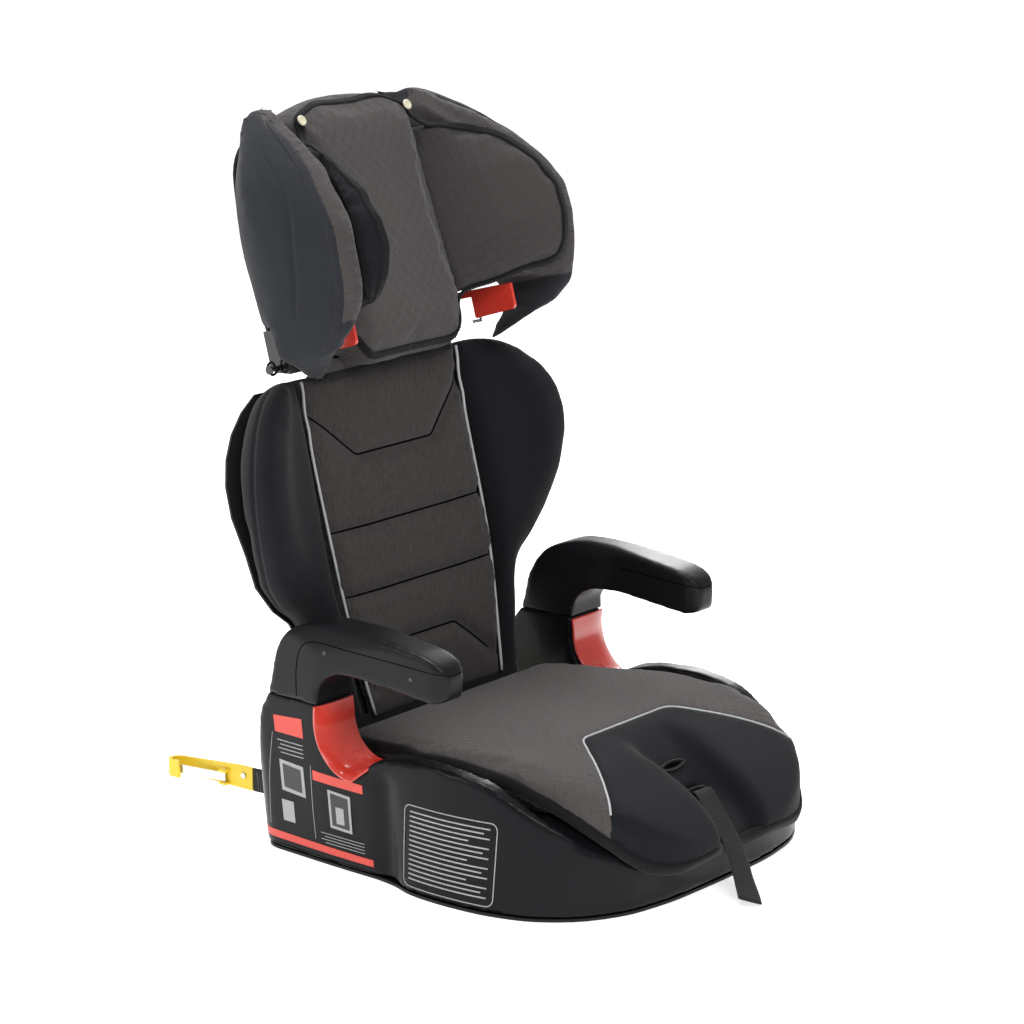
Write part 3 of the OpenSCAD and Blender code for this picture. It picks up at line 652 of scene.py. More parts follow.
def flat_profile(width, thick, steps=12):
    """A band with rounded edges, lying on the surface."""
    points = []
    for k in range(steps):
        a = 2 * math.pi * k / steps
        c, s = math.cos(a), math.sin(a)
        points.append((
            0.5 * width * math.copysign(abs(c) ** 0.6, c),
            0.5 * thick * math.copysign(abs(s) ** 0.8, s),
        ))
    return points


def joined(name, pieces):
    """One object from several, with their materials kept."""
    shape_vertices = []
    faces = []
    slots = []
    marks = []
    for piece in pieces:
        first = len(shape_vertices)
        shape_vertices += [v.co.copy() for v in piece.data.vertices]
        local = []
        for m in piece.data.materials:
            if m not in slots:
                slots.append(m)
            local.append(slots.index(m))
        for p in piece.data.polygons:
            faces.append([first + i for i in p.vertices])
            marks.append(local[p.material_index] if local else 0)
    made = new_object(name, shape_vertices, faces)
    for m in slots:
        made.data.materials.append(m)
    made.data.polygons.foreach_set("material_index", marks)
    for piece in pieces:
        bpy.data.objects.remove(piece)
    return made


def stitches(name, laid, material, pitch=3.2, length=2.2, radius=0.35, side=0.0, lift=0.1):
    """A row of thread stitches along laid points, side mm off to one side."""
    vertices = []
    faces = []
    travel = 0.0
    due = pitch * MM
    for i in range(1, len(laid)):
        a, na = laid[i - 1]
        b, nb = laid[i]
        step = (b - a).length
        while travel + step >= due:
            t = (due - travel) / step
            place = a.lerp(b, t)
            normal = (na.lerp(nb, t)).normalized()
            ahead = (b - a).normalized()
            across = ahead.cross(normal).normalized()
            middle = place + across * side * MM + normal * lift * MM
            first = len(vertices)
            for end, size in ((-0.5, 0.35), (-0.3, 1), (0.3, 1), (0.5, 0.35)):
                reach = radius * size * MM
                for k in range(5):
                    angle = 2 * math.pi * k / 5
                    around = across * math.cos(angle) + normal * math.sin(angle)
                    vertices.append(middle + ahead * end * length * MM + around * reach)
            for r in range(3):
                ring = first + r * 5
                for k in range(5):
                    m = (k + 1) % 5
                    faces.append((ring + k, ring + m, ring + 5 + m, ring + 5 + k))
            faces.append(tuple(first + k for k in range(4, -1, -1)))
            faces.append(tuple(first + 15 + k for k in range(5)))
            due += pitch * MM
        travel += step
    made = new_object(name, vertices, faces, material)
    fix_normals(made)
    return made


# ---------------------------------------------------------------- pieces: helpers

def unit(v):
    return v / v.length


def finish_cad(material, *nodes):
    """Gives CAD nodes that stay in view a finished material."""
    for node in nodes:
        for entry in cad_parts[node].material_slots:
            entry.material = material


def coat(obj, *materials):
    obj.data.materials.clear()
    for material in materials:
        obj.data.materials.append(material)


def dress(obj, body, *materials):
    coat(obj, *materials)
    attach(obj, body)


def faces_of(obj):
    """Centres in mm and normals of all faces."""
    count = len(obj.data.polygons)
    centre = np.empty(count * 3)
    normal = np.empty(count * 3)
    obj.data.polygons.foreach_get("center", centre)
    obj.data.polygons.foreach_get("normal", normal)
    return centre.reshape(-1, 3) / MM, normal.reshape(-1, 3)


def mark(obj, chosen, index):
    marks = np.empty(len(obj.data.polygons), dtype=np.int32)
    obj.data.polygons.foreach_get("material_index", marks)
    marks[chosen] = index
    obj.data.polygons.foreach_set("material_index", marks)


def forward_up(centre):
    """Forward and up in the back's frame, of points in mm."""
    y = centre[:, 1] - BACK_ORIGIN[0]
    z = centre[:, 2] - BACK_ORIGIN[1]
    forward = -(y * math.cos(LEAN) - z * math.sin(LEAN))
    up = y * math.sin(LEAN) + z * math.cos(LEAN)
    return forward, up


def soft(name, node, shrink_mm=2.0, cap_mm=5.0, smoothing=4, voxel_mm=4.0):
    """A crowned, padded copy of a soft CAD solid."""
    pad = copy_of(name, node)
    remesh(pad, voxel_mm)
    relax(pad, smoothing)
    put(pad, places(pad) - directions(pad) * shrink_mm * MM)
    puff(pad, cap_mm=cap_mm)
    relax(pad, 2, 0.4)
    subdivide(pad)
    return pad


def bevelled(name, width_mm, *nodes):
    """A copy of hard CAD solids with softened edges."""
    piece = copy_of(name, *nodes)
    shape = bmesh.new()
    shape.from_mesh(piece.data)
    bmesh.ops.remove_doubles(shape, verts=shape.verts, dist=0.00001)
    flat = math.radians(0.4)
    bmesh.ops.dissolve_limit(shape, angle_limit=flat, verts=shape.verts, edges=shape.edges)
    shape.to_mesh(piece.data)
    shape.free()
    apply(piece, "BEVEL", width=width_mm * MM, segments=2, limit_method="ANGLE",
          angle_limit=math.radians(35), use_clamp_overlap=True)
    shade_smooth(piece)
    apply(piece, "WEIGHTED_NORMAL")
    return piece


def on_both_sides(piece, body, node=None):
    """Rides a right-hand piece and its mirror image on a body, for a CAD node named without its side."""
    other = mirrored(piece, piece.name.replace("_right", "_left"))
    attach(piece, body)
    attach(other, body)
    if node:
        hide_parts(node + "_right")
        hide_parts(node + "_left")
    return piece, other


def lathe(name, base, axis, rings, material, steps=24):
    """A turned shape from (radius, height) rings in mm."""
    axis = unit(Vector(axis))
    side = unit(axis.orthogonal())
    other = axis.cross(side)
    vertices = []
    for radius, height in rings:
        for k in range(steps):
            angle = 2 * math.pi * k / steps
            around = side * math.cos(angle) + other * math.sin(angle)
            vertices.append(base + (around * radius + axis * height) * MM)
    faces = []
    for r in range(len(rings) - 1):
        for k in range(steps):
            m = (k + 1) % steps
            faces.append((r * steps + k, r * steps + m, (r + 1) * steps + m, (r + 1) * steps + k))
    faces.append(tuple(range(steps))[::-1])
    faces.append(tuple((len(rings) - 1) * steps + k for k in range(steps)))
    made = new_object(name, vertices, faces, material)
    fix_normals(made)
    return made


def coil(name, base, axis, radius, wire, height, turns, material):
    """A wound compression spring."""
    axis = unit(Vector(axis))
    side = unit(axis.orthogonal())
    other = axis.cross(side)
    laid = []
    steps = turns * 16
    for i in range(steps + 1):
        angle = 2 * math.pi * i / 16
        around = side * math.cos(angle) + other * math.sin(angle)
        laid.append((base + (around * radius + axis * height * i / steps) * MM, around))
    return sweep(name, laid, round_profile(wire, 6), material)


def band_between(name, skin, rows, material, lift_mm=0.25):
    """A thin patch laid on a skin, from a grid of (place, direction) casts."""
    vertices = []
    width = len(rows[0])
    for cast_row in rows:
        for place, direction in cast_row:
            hit, normal = skin.along(place, direction)
            if hit is None:
                hit, normal = skin.nearest(place)
            vertices.append(hit + normal * lift_mm * MM)
    faces = []
    for r in range(len(rows) - 1):
        for k in range(width - 1):
            a = r * width + k
            faces.append((a, a + 1, a + width + 1, a + width))
    return new_object(name, vertices, faces, material)


# ---------------------------------------------------------------- base

ARM_JOINT = 165.0


def side_cast(y, z):
    """A cast from the outside of the right wall, straight inwards."""
    return row(300, y, z), Vector((-1, 0, 0))


def side_patch(name, skin, y0, y1, z0, z1, material, lift_mm=0.3):
    """A printed rectangle on the right wall; z0 and z1 are pairs, at y0 and at y1."""
    across = max(2, int(abs(y1 - y0) / 4))
    upward = max(2, int((max(z1) - min(z0)) / 4))
    rows = []
    for j in range(upward + 1):
        t = j / upward
        cast_row = []
        for i in range(across + 1):
            s = i / across
            low = z0[0] + (z0[1] - z0[0]) * s
            high = z1[0] + (z1[1] - z1[0]) * s
            cast_row.append(side_cast(y0 + (y1 - y0) * s, low + (high - low) * t))
        rows.append(cast_row)
    return band_between(name, skin, rows, material, lift_mm)


def side_frame(name, skin, y0, y1, z0, z1, corner, material, width=0.9):
    """A printed outline with rounded corners on the right wall."""
    points = []
    for cy, cz, start in ((y1 - corner, z1 - corner, 0), (y0 + corner, z1 - corner, 90),
                          (y0 + corner, z0 + corner, 180), (y1 - corner, z0 + corner, 270)):
        for k in range(5):
            angle = math.radians(start + 22.5 * k)
            points.append((cy + corner * math.cos(angle), cz + corner * math.sin(angle)))
    laid = []
    count = len(points)
    for i, (y, z) in enumerate(points):
        ny, nz = points[(i + 1) % count]
        steps = max(1, int(math.hypot(ny - y, nz - z) / 4))
        for k in range(steps):
            t = k / steps
            hit, normal = skin.along(*side_cast(y + (ny - y) * t, z + (nz - z) * t))
            if hit is not None:
                laid.append((hit + normal * 0.1 * MM, normal))
    return sweep(name, laid, flat_profile(width, 0.5, 6), material, closed=True)


def side_line(name, skin, points, material, profile, lift_mm=0.0, spacing_mm=3.0):
    """A line through (y, z) points on the outside of the right wall."""
    path = curve_through([row(0, y, z) for y, z in points], spacing_mm)
    laid = []
    for p in path:
        hit, normal = skin.along(Vector((0.3, p.y, p.z)), Vector((-1, 0, 0)))
        if hit is not None:
            laid.append((hit + normal * lift_mm * MM, normal))
    return sweep(name, smoothed(laid, 2), profile, material)


# Printed areas: y from and to, z of the foot at both ends, z of the top at both ends, material, lift
PRINTED_AREAS = [
    (128, 166, (126, 126), (146, 143), "decal_red", 0.3),
    (58, 120, (84, 86), (93, 96), "decal_red", 0.3),
    (50, 196, (12, 13), (19, 21), "decal_red", 0.3),
    (132, 164, (64, 66), (96, 98), "decal_line", 0.3),
    (74, 102, (40, 41), (78, 80), "decal_line", 0.3),
    (136, 160, (68, 70), (92, 94), "decal_dark", 0.5),
    (77, 99, (43, 44), (75, 77), "decal_dark", 0.5),
    (150, 166, (34, 34), (56, 56), "decal_line", 0.3),
    (83, 93, (47, 47), (64, 64), "decal_line", 0.7),
]
# Single printed rules: width and (y, z) points
PRINTED_RULES = [
    (0.7, [(124, 24), (124, 60), (122, 100)]),
    (0.6, [(186, 26), (180, 80), (170, 124)]),
]
# Label: y from and to, z from and to, corner radius; where its rows of rules end
LABEL_FRAME = (-101, 5, 9, 87, 7)
LABEL_ENDS = (-94, -88, -94, -72)
LABEL_ROWS = 15


def printed_rules():
    """Width, points and spacing of every printed rule, with rows of rules in place of lettering."""
    rules = [(width, points, 3.0) for width, points in PRINTED_RULES]
    for k in range(4):
        height = 118 - 4.2 * k
        rules.append((1.1, [(130, height), (164 - 3 * (k % 2), height)], 3.0))
    for k in range(4):
        height = 33 - 3.2 * k
        rules.append((0.8, [(60, height), (116 - 5 * (k % 2), height)], 3.0))
    for k in range(LABEL_ROWS):
        height = 81 - 4.6 * k
        rules.append((1.5, [(-2, height), (-48, height), (LABEL_ENDS[k % 4], height)], 5))
    return rules


def make_prints(skin, m):
    """Generic prints on each side wall: blocks, frames and plain rules, with no lettering."""
    pieces = []
    for number, (y0, y1, foot, top, material, lift) in enumerate(PRINTED_AREAS):
        pieces.append(side_patch(f"print_{number}", skin, y0, y1, foot, top, m[material], lift))
    for number, (width, points, spacing) in enumerate(printed_rules()):
        profile = flat_profile(width, 0.4, 6)
        rule = side_line(f"rule_{number}", skin, points, m["decal_line"], profile, spacing_mm=spacing)
        pieces.append(rule)
    pieces.append(side_frame("label_edge", skin, *LABEL_FRAME, m["decal_line"], 1.1))
    on_both_sides(joined("side_prints_right", pieces), "base")


ADJUSTER_SLOPE = 40
ADJUSTER_SPRING = (0, -129, 78.2)
PARTING_LINE = [(186, 7), (100, 6.5), (20, 6), (-60, 6), (-110, 6.5)]
# Upright fillet between the rear of the side wall and its bulge: y, depth and width
FILLET_Y = 33
FILLET_DEPTH = 4.5
FILLET_WIDTH = 13.0


def make_base(m):
    shell = copy_of("base_moulding", "base_shell")
    remesh(shell, 2.6)
    relax_where(shell, lambda co: (ARM_JOINT - co[:, 2]) / 12, 10)
    skin = Skin(shell)
    for side in (-1, 1):
        fillet = [skin.nearest(row(side * 225, FILLET_Y, z))[0] for z in range(6, 100, 6)]
        crease(shell, fillet, FILLET_DEPTH, FILLET_WIDTH)
    dress(shell, "base", m["shell"])
    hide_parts("base_shell")
    skin = Skin(shell)
    make_prints(skin, m)
    profile = round_profile(0.45, 6)
    parting = side_line("parting_line_right", skin, PARTING_LINE, m["groove_and_shade"], profile, spacing_mm=5)
    on_both_sides(parting, "base")
    finish_cad(m["part"], "bottom_pan", "adjuster_button", "adjuster_frame")
    finish_cad(m["steel"], "pan_screws", "hinge_rod", "strap_anchors")
    slope = math.radians(ADJUSTER_SLOPE)
    axis = (0, -math.sin(slope), math.cos(slope))
    button_spring = coil("button_spring", row(*ADJUSTER_SPRING), axis, 2.8, 0.4, 4.6, 5, m["spring"])
    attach(button_spring, "base")
    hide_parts("adjuster_spring")


ARM_SEAM = [(131, 169), (131, 195), (125, 217), (108, 226), (60, 224.5), (0, 221.5), (-40, 219)]
ARM_SEAM_FRONT = [(216, -44, 219), (204, -50, 219), (190, -50, 219), (180, -42, 219), (177, -10, 221),
                  (176, 50, 225)]


# Screw heads on the armrest's outside, y and z, and the turned shape of a head, radius and height
ARM_SCREWS = [(94, 218), (-8, 210)]
SCREW_RINGS = [(2.2, -1.5), (2.2, 0.4), (1.8, 0.9), (0.9, 0.9), (0.7, 0.3), (0.1, 0.3)]


def make_arms(m):
    arm = copy_of("armrest_right", "arm_right", "arm_under_right")
    remesh(arm, 2.4)
    relax_where(arm, lambda co: (co[:, 2] - ARM_JOINT - 1) / 14, 12)
    coat(arm, m["arm"])
    other = mirrored(arm, "armrest_left")
    for piece, side in ((arm, "right"), (other, "left")):
        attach(piece, "base")
        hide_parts("arm_" + side, "arm_under_" + side)
    skin = Skin(arm)
    outer = side_line("seam_a", skin, ARM_SEAM, m["groove_and_shade"], round_profile(0.55, 6), -0.1)
    laid = smoothed(skin.lay(curve_through([row(*p) for p in ARM_SEAM_FRONT]), -0.1))
    inner = sweep("seam_b", laid, round_profile(0.55, 6), m["groove_and_shade"])
    on_both_sides(joined("arm_seam_right", [outer, inner]), "base")
    heads = []
    for y, z in ARM_SCREWS:
        hit, normal = skin.along(*side_cast(y, z))
        heads.append(lathe(f"arm_screw_{len(heads)}", hit, normal, SCREW_RINGS, m["gloss"], 16))
    right = joined("arm_screws_right", heads)
    screws = joined("arm_screw_heads", [mirrored(right, "arm_screws_left"), right])
    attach(screws, "base")
    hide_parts("arm_screws")


# Line of the belt guide's surface from its top to its front lip, at its inner and at its outer edge
GUIDE_INNER = [(103, 163.5), (101.5, 152), (100.5, 140), (94, 124), (82, 112.5), (68, 107.5),
               (57, 110), (48, 115)]
GUIDE_OUTER = [(105, 163.5), (106, 154), (105.5, 143), (101, 127), (91, 112.5), (80, 104),
               (70, 100), (61, 99.5)]
GUIDE_X = (170.5, 171.5, 176, 186, 196, 203, 209, 214, 218, 221, 223, 224)
GUIDE_FLAT = 198
GUIDE_STEPS = 44
# Raised outline on the guide, x and y of its corners
GUIDE_MARK = [(194, 86), (180, 86), (180, 64), (194, 64)]


def make_guides(m):
    lines = [curve_through([row(0, y, z) for y, z in edge], 3.0) for edge in (GUIDE_INNER, GUIDE_OUTER)]
    count = GUIDE_STEPS
    sampled = []
    for line in lines:
        picks = np.linspace(0, len(line) - 1, count)
        sampled.append([line[int(p)].lerp(line[min(int(p) + 1, len(line) - 1)], p - int(p)) for p in picks])
    vertices = []
    for x in GUIDE_X:
        t = max(0.0, (x - GUIDE_FLAT) / (GUIDE_X[-1] - GUIDE_FLAT)) ** 2.2
        for a, b in zip(*sampled, strict=True):
            place = a.lerp(b, t)
            vertices.append(Vector((x * MM, place.y, place.z)))
    faces = []
    for i in range(len(GUIDE_X) - 1):
        for k in range(count - 1):
            first = i * count + k
            faces.append((first, first + 1, first + count + 1, first + count))
    guide = new_object("lap_guide_right", vertices, faces, m["red"])
    skin = Skin(guide)
    apply(guide, "SOLIDIFY", thickness=2.6 * MM, offset=-1.0)
    fix_normals(guide)
    apply(guide, "BEVEL", width=0.7 * MM, segments=2, limit_method="ANGLE", angle_limit=math.radians(40))
    shade_smooth(guide)
    ring = []
    for i, (x, y) in enumerate(GUIDE_MARK):
        nx, ny = GUIDE_MARK[(i + 1) % 4]
        for k in range(5):
            t = k / 5
            hit, normal = skin.along(row(x + (nx - x) * t, y + (ny - y) * t, 150), Vector((0, 0, -1)))
            if normal.z < 0:
                normal = -normal
            ring.append((hit + normal * 0.15 * MM, normal))
    rim = sweep("guide_mark", smoothed(ring, 1, True), flat_profile(1.1, 0.7, 6), m["red"], closed=True)
    on_both_sides(joined("belt_saddle_right", [guide, rim]), "base", "belt_guide")


# ---------------------------------------------------------------- seat cushion

# Bound edge round the cushion's foot, right half
SEAT_SEAM = [(0, -239, 38), (56, -238, 38), (100, -229, 39), (128, -211, 46), (146, -192, 61),
             (160, -168, 80), (171, -142, 96), (177, -105, 112), (180, -70, 121), (180, -20, 122),
             (177, 20, 117), (166, 44, 116), (164, 92, 114), (150, 134, 112), (0, 134, 112)]
# Front panel's edge, right half, x and y
FRONT_PANEL = [(0, -91), (40, -91), (67, -93), (86, -114), (108, -142), (135, -174), (147, -186)]
# Slots through the cushion: y and z of the middle, and half their width
SLOTS = [(-147, 104, 17.5), (-173, 84, 18.0)]
SLOT_HALF_HEIGHT = 2.8
# Ring of casts that finds the cover's slope round a slot: its reach in x, y and z, and where a cast starts
SLOT_PROBE = (22, 9, 7)
SLOT_CAST = (0, -62, 78)
# Smoothed area of the nose: half its width, its rear end, and its fade across and along
HOLLOW_HALF_WIDTH = 74
HOLLOW_REAR = -96
HOLLOW_FADE = (24, 12)


def inside(outline, x, y):
    """Which points lie inside a closed outline."""
    result = np.zeros(len(x), dtype=bool)
    for (x0, y0), (x1, y1) in zip(outline, outline[1:] + outline[:1], strict=True):
        if y0 == y1:
            continue
        crossing = (y0 > y) != (y1 > y)
        result ^= crossing & (x < (x1 - x0) * (y - y0) / (y1 - y0) + x0)
    return result


def drop_on(skin, points, lift_mm=0.0):
    laid = []
    for p in points:
        hit, normal = skin.along(Vector((p.x, p.y, 0.25)), Vector((0, 0, -1)))
        if hit is not None:
            laid.append((hit + normal * lift_mm * MM, normal))
    return laid


def hollow_share(co):
    """1 over the hollow in the middle of the cushion's nose, fading out round it."""
    x, y = np.abs(co[:, 0]), co[:, 1]
    return np.minimum((HOLLOW_HALF_WIDTH - x) / HOLLOW_FADE[0], (HOLLOW_REAR - y) / HOLLOW_FADE[1])


def slot_plane(skin, middle_y, height):
    """The plane z = a x + b y + c that fits the cover round a slot."""
    cast_from = row(*SLOT_CAST)
    known = []
    heights = []
    for k in range(12):
        angle = 2 * math.pi * k / 12
        c, s = math.cos(angle), math.sin(angle)
        spot = row(SLOT_PROBE[0] * c, middle_y + SLOT_PROBE[1] * s, height + SLOT_PROBE[2] * s)
        hit, _ = skin.along(spot + cast_from, unit(-cast_from))
        if hit is not None and abs((hit - spot).y) < 16 * MM:
            known.append((hit.x, hit.y, 1.0))
            heights.append(hit.z)
    return np.linalg.lstsq(np.array(known), np.array(heights), rcond=None)[0]


def slot_pieces(number, skin, middle_y, height, reach, m):
    """A near-black sheet as painted shade inside a lens-shaped slot, its bound rim and its stitching."""
    a, b, c = slot_plane(skin, middle_y, height)
    normal = unit(Vector((-a, -b, 1.0)))
    ring = []
    for k in range(36):
        angle = 2 * math.pi * k / 36
        x = reach * math.cos(angle) * MM
        y = (middle_y + SLOT_HALF_HEIGHT * math.sin(angle) * abs(math.sin(angle)) ** 0.35) * MM
        ring.append((Vector((x, y, a * x + b * y + c)) + normal * 0.9 * MM, normal))
    closed_ring = ring + ring[:1]
    return [
        # The flat near-black sheet across the slot is painted shade standing in for the dark hole.
        new_object(f"slot_gap_{number}", [p for p, _ in ring], [tuple(range(36))], m["groove_and_shade"]),
        sweep(f"slot_rim_{number}", ring, flat_profile(3.0, 2.0, 8), m["binding"], closed=True),
        stitches(f"slot_stitch_{number}", closed_ring, m["pale_thread"], 2.6, 1.4, 0.24, 0.8, 1.0),
    ]


def make_cushion(m):
    cushion = soft("seat_cover", "seat_cushion", 1.5, 5.0, 5)
    relax_where(cushion, hollow_share, 60)
    relax(cushion, 5)
    skin = Skin(cushion)
    half = [row(*p) for p in SEAT_SEAM]
    seam = curve_through(half + flipped(half)[::-1][1:-1], 4.0, closed=True)
    seam_laid = smoothed(skin.lay(seam), 8, True)
    crease(cushion, [p for p, _ in seam_laid[::3]], 0.5, 4.0)
    half = [row(x, y, 0) for x, y in FRONT_PANEL]
    edge = curve_through(flipped(half)[::-1][:-1] + half, 3.0)
    edge_laid = smoothed(drop_on(skin, edge), 3)
    crease(cushion, [p for p, _ in edge_laid[::3]], 1.4, 3.5)
    dress(cushion, "base", m["seat"], m["black"])
    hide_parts("seat_cushion")
    centre, normal = faces_of(cushion)
    x, y = centre[:, 0], centre[:, 1]
    seam_y, seam_z = zip(*sorted((y, z) for _, y, z in SEAT_SEAM), strict=True)
    mark(cushion, (centre[:, 2] < np.interp(y, seam_y, seam_z) - 10) | (normal[:, 2] < -0.3), 1)
    panel_outline = [(p.x / MM, p.y / MM) for p, _ in edge_laid] + [(200, -240), (-200, -240)]
    mark(cushion, inside(panel_outline, x, y), 1)
    skin = Skin(cushion)
    foot = smoothed(skin.lay([p for p, _ in seam_laid], 0.9), 8, True)
    roll = sweep("seat_roll", foot, flat_profile(11.5, 6.0, 12), m["binding"], closed=True)
    edge = skin.lay([p for p, _ in edge_laid], 0.5)
    piping = sweep("seat_piping", edge, round_profile(1.15), m["piping"])
    for trim in (roll, piping):
        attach(trim, "base")
    slot_trims_and_shade = []
    for number, (middle_y, height, reach) in enumerate(SLOTS):
        slot_trims_and_shade += slot_pieces(number, skin, middle_y, height, reach, m)
    slots = joined("slot_edges_and_shade", slot_trims_and_shade)
    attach(slots, "base")


# ---------------------------------------------------------------- straps and hooks

FRONT_ROUTE = [(0, -158, 58), (0, -164, 65), (0, -170, 72), (0, -176, 79), (-1, -182, 84),
               (-3, -189, 82), (-6, -197, 75), (-9, -207, 67), (-12, -217, 58), (-14.5, -226, 49),
               (-17.5, -234, 40), (-22, -242, 31), (-28, -250, 22), (-34, -258, 15), (-41, -266, 10),
               (-47, -272, 6.5)]
STRAP_X = 85
ANCHOR_Y = 158
WEBBING = (25.0, 2.0)


def connector_route():
    points = []
    for i in range(16):
        y = ANCHOR_Y + 3 + i * 10.2
        fall = max(0, min(1, (y - 200) / 84))
        sway = max(0, y - 228) / 86
        points.append(row(STRAP_X - 2 * math.sin(math.pi * sway), y, 18 - 4 * fall * fall * (3 - 2 * fall)))
    return points


def strap(name, route, up, material):
    """Webbing swept along its route; up is its width's direction."""
    laid = []
    count = len(route)
    for i, place in enumerate(route):
        ahead = unit(route[min(i + 1, count - 1)] - route[max(i - 1, 0)])
        across = unit(up - ahead * up.dot(ahead))
        laid.append((place, ahead.cross(across)))
    return sweep(name, laid, flat_profile(*WEBBING, 16), material)


# Dense stitching by the hook: where it starts, its pitch and count, its middle height and reach
ZIGZAG_START = 262
ZIGZAG_PITCH = 1.6
ZIGZAG_COUNT = 30
ZIGZAG_HEIGHT = 14
ZIGZAG_REACH = 9.5


def zigzag(name, sign, material):
    """Dense stitching across a connector strap, on one of its faces."""
    laid = []
    normal = Vector((sign, 0, 0))
    for k in range(ZIGZAG_COUNT):
        along = ZIGZAG_PITCH * k
        height = ZIGZAG_HEIGHT + (ZIGZAG_REACH if k % 2 else -ZIGZAG_REACH)
        x = STRAP_X - 1.4 + along * 0.026 + sign * 1.1
        laid.append((row(x, ZIGZAG_START + along, height), normal))
    return sweep(name, laid, round_profile(0.38, 5), material)


def make_straps(m):
    route = curve_through([row(*p) for p in FRONT_ROUTE], 5.0)
    front = strap("harness_strap", route, Vector((1, 0, 0)), m["webbing"])
    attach(front, "base")
    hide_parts("front_strap")
    for side, sign in (("right", 1), ("left", -1)):
        path = connector_route()
        if sign < 0:
            path = flipped(path)
        piece = strap("connector_webbing_" + side, path, Vector((0, 0, 1)), m["webbing"])
        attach(piece, "base")
        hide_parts("connector_strap_" + side)
        hook = bevelled("strap_hook_" + side, 0.5, "hook_" + side)
        dress(hook, "base", m["yellow"])
        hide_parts("hook_" + side)
    faces = [zigzag(f"zigzag_{sign}", sign, m["pale_thread"]) for sign in (1, -1)]
    on_both_sides(joined("strap_stitching_right", faces), "base")
    finish_cad(m["steel"], "hook_rivets")
    finish_cad(m["spring"], "gate_left", "gate_right")


# ---------------------------------------------------------------- back

CHANNELS = [
    [(114, 0, 306), (88, 0, 283), (57, 0, 255), (0, 0, 255)],
    [(115, 0, 187), (60, 0, 186), (0, 0, 186)],
    [(114, 0, 123), (60, 0, 122), (0, 0, 122)],
    [(90, 0, 28), (66, 0, 48), (40, 0, 68), (0, 0, 68)],
]
PIPING = [(120.6, 0, 339), (120.6, 0, 290), (120.6, 0, 230), (120.6, 0, 180), (120, -0.5, 125),
          (113.6, -5, 67), (104.6, -11, 20), (101.6, -14, -2)]
WING_EDGE = [(138, 18, -2), (148, 15, 45), (160, 11, 92), (168, 7, 110), (188, 1, 126),
             (208, -10, 153), (222, -25, 186), (230, -38, 225), (229, -44, 255), (221, -45, 280),
             (207, -42, 302), (188, -36, 320), (165, -27, 334), (142, -14, 341)]


def sharp_path(points):
    """Places along straight runs between points, so that a sewn corner stays a corner."""
    out = []
    for a, b in zip(points[:-1], points[1:], strict=True):
        steps = max(1, int((b - a).length / (4 * MM)))
        out += [a.lerp(b, k / steps) for k in range(steps)]
    return out + [points[-1]]


# Depth and width of the two pulls that form a sewn channel
CHANNEL_PULLS = ((5.5, 7.5), (4.5, 2.4))
# Depth and width of a plain seam in a cover
SEAM_PULL = (1.8, 2.6)
# Across the wing, where its cover starts to be smoothed, and how gradually
WING_SMOOTH_FROM = 124
WING_SMOOTH_OVER = 16
PIPING_LIFT = 4.2
# Strip of cover tucked in under the foot of the pad
TUCK_REACH = 130
TUCK_PITCH = 5.2
TUCK_STEPS = 50


def make_back_pad(m, out):
    pad = soft("back_cover", "back_pad", 1.0, 4.0, 3)
    skin = Skin(pad)
    paths = []
    for channel in CHANNELS:
        half = [back(*p) for p in channel]
        path = [skin.nearest(p)[0] for p in sharp_path(half + flipped(half)[::-1][1:])]
        for depth, width in CHANNEL_PULLS:
            crease(pad, path, depth, width, out)
        paths.append(path)
    creased = Skin(pad)
    threads = []
    # Each channel gets a near-black roll laid in its bottom: partly the sewn seam, partly painted shade
    # where the cloth folds in.
    for k, path in enumerate(paths):
        laid = [(creased.along(p + out * 0.03, -out)[0] - out * 0.0002, out) for p in path]
        profile = round_profile(1.15, 6)
        threads.append(sweep(f"channel_{k}", smoothed(laid, 1), profile, m["groove_and_shade"], taper_mm=6))
    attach(joined("channel_seams", threads), "back")
    dress(pad, "back", m["panel"])
    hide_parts("back_pad")
    return pad


def make_back_wings(m):
    """The torso wings; returns the right one and the places of its seam."""
    wing = soft("torso_wing_right", "back_wing_pad_right", 0.6, 5.0, 14)
    relax_where(wing, lambda co: (co[:, 0] - WING_SMOOTH_FROM) / WING_SMOOTH_OVER, 110)
    skin = Skin(wing)
    seam = []
    for x, behind, up in WING_EDGE[1:-1]:
        hit, _ = skin.along(back(x + 60, -behind - 26, up), Vector((-1, 0, 0)))
        if hit is not None:
            seam.append(hit)
    seam = [p for p, _ in skin.lay(curve_through(seam, 3.0))]
    crease(wing, seam, *SEAM_PULL)
    coat(wing, m["black"])
    right, left = on_both_sides(wing, "back", "back_wing_pad")
    return right, seam


def make_back_trim(m, out, pad, wing, seam):
    skin = Skin(pad)
    laid = []
    for p in curve_through([back(x - 5.5, -behind + 40, up) for x, behind, up in PIPING], 4.0):
        hit, _ = skin.along(p, -out)
        if hit is not None:
            laid.append((hit + row(1.5, 0, 0) + out * PIPING_LIFT * MM, out))
    laid = smoothed(laid, 7)
    on_both_sides(sweep("back_piping_right", laid, round_profile(1.5), m["piping"]), "back")
    laid = smoothed(Skin(wing).lay(seam, 0.15), 2)
    on_both_sides(stitches("wing_stitch_right", laid, m["thread"], 3.0, 2.1, 0.3, 2.4), "back")
    tuck_line = []
    for k in range(TUCK_STEPS + 1):
        forward = -15.5 + 0.5 * math.sin(k * 0.7)
        tuck_line.append((back(-TUCK_REACH + TUCK_PITCH * k, forward, -9), out))
    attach(sweep("cover_tuck", tuck_line, flat_profile(32, 2.4, 16), m["black"]), "back")


def make_back(m):
    out = unit(back(0, 1, 0) - back(0, 0, 0))
    pad = make_back_pad(m, out)
    wing, seam = make_back_wings(m)
    make_back_trim(m, out, pad, wing, seam)


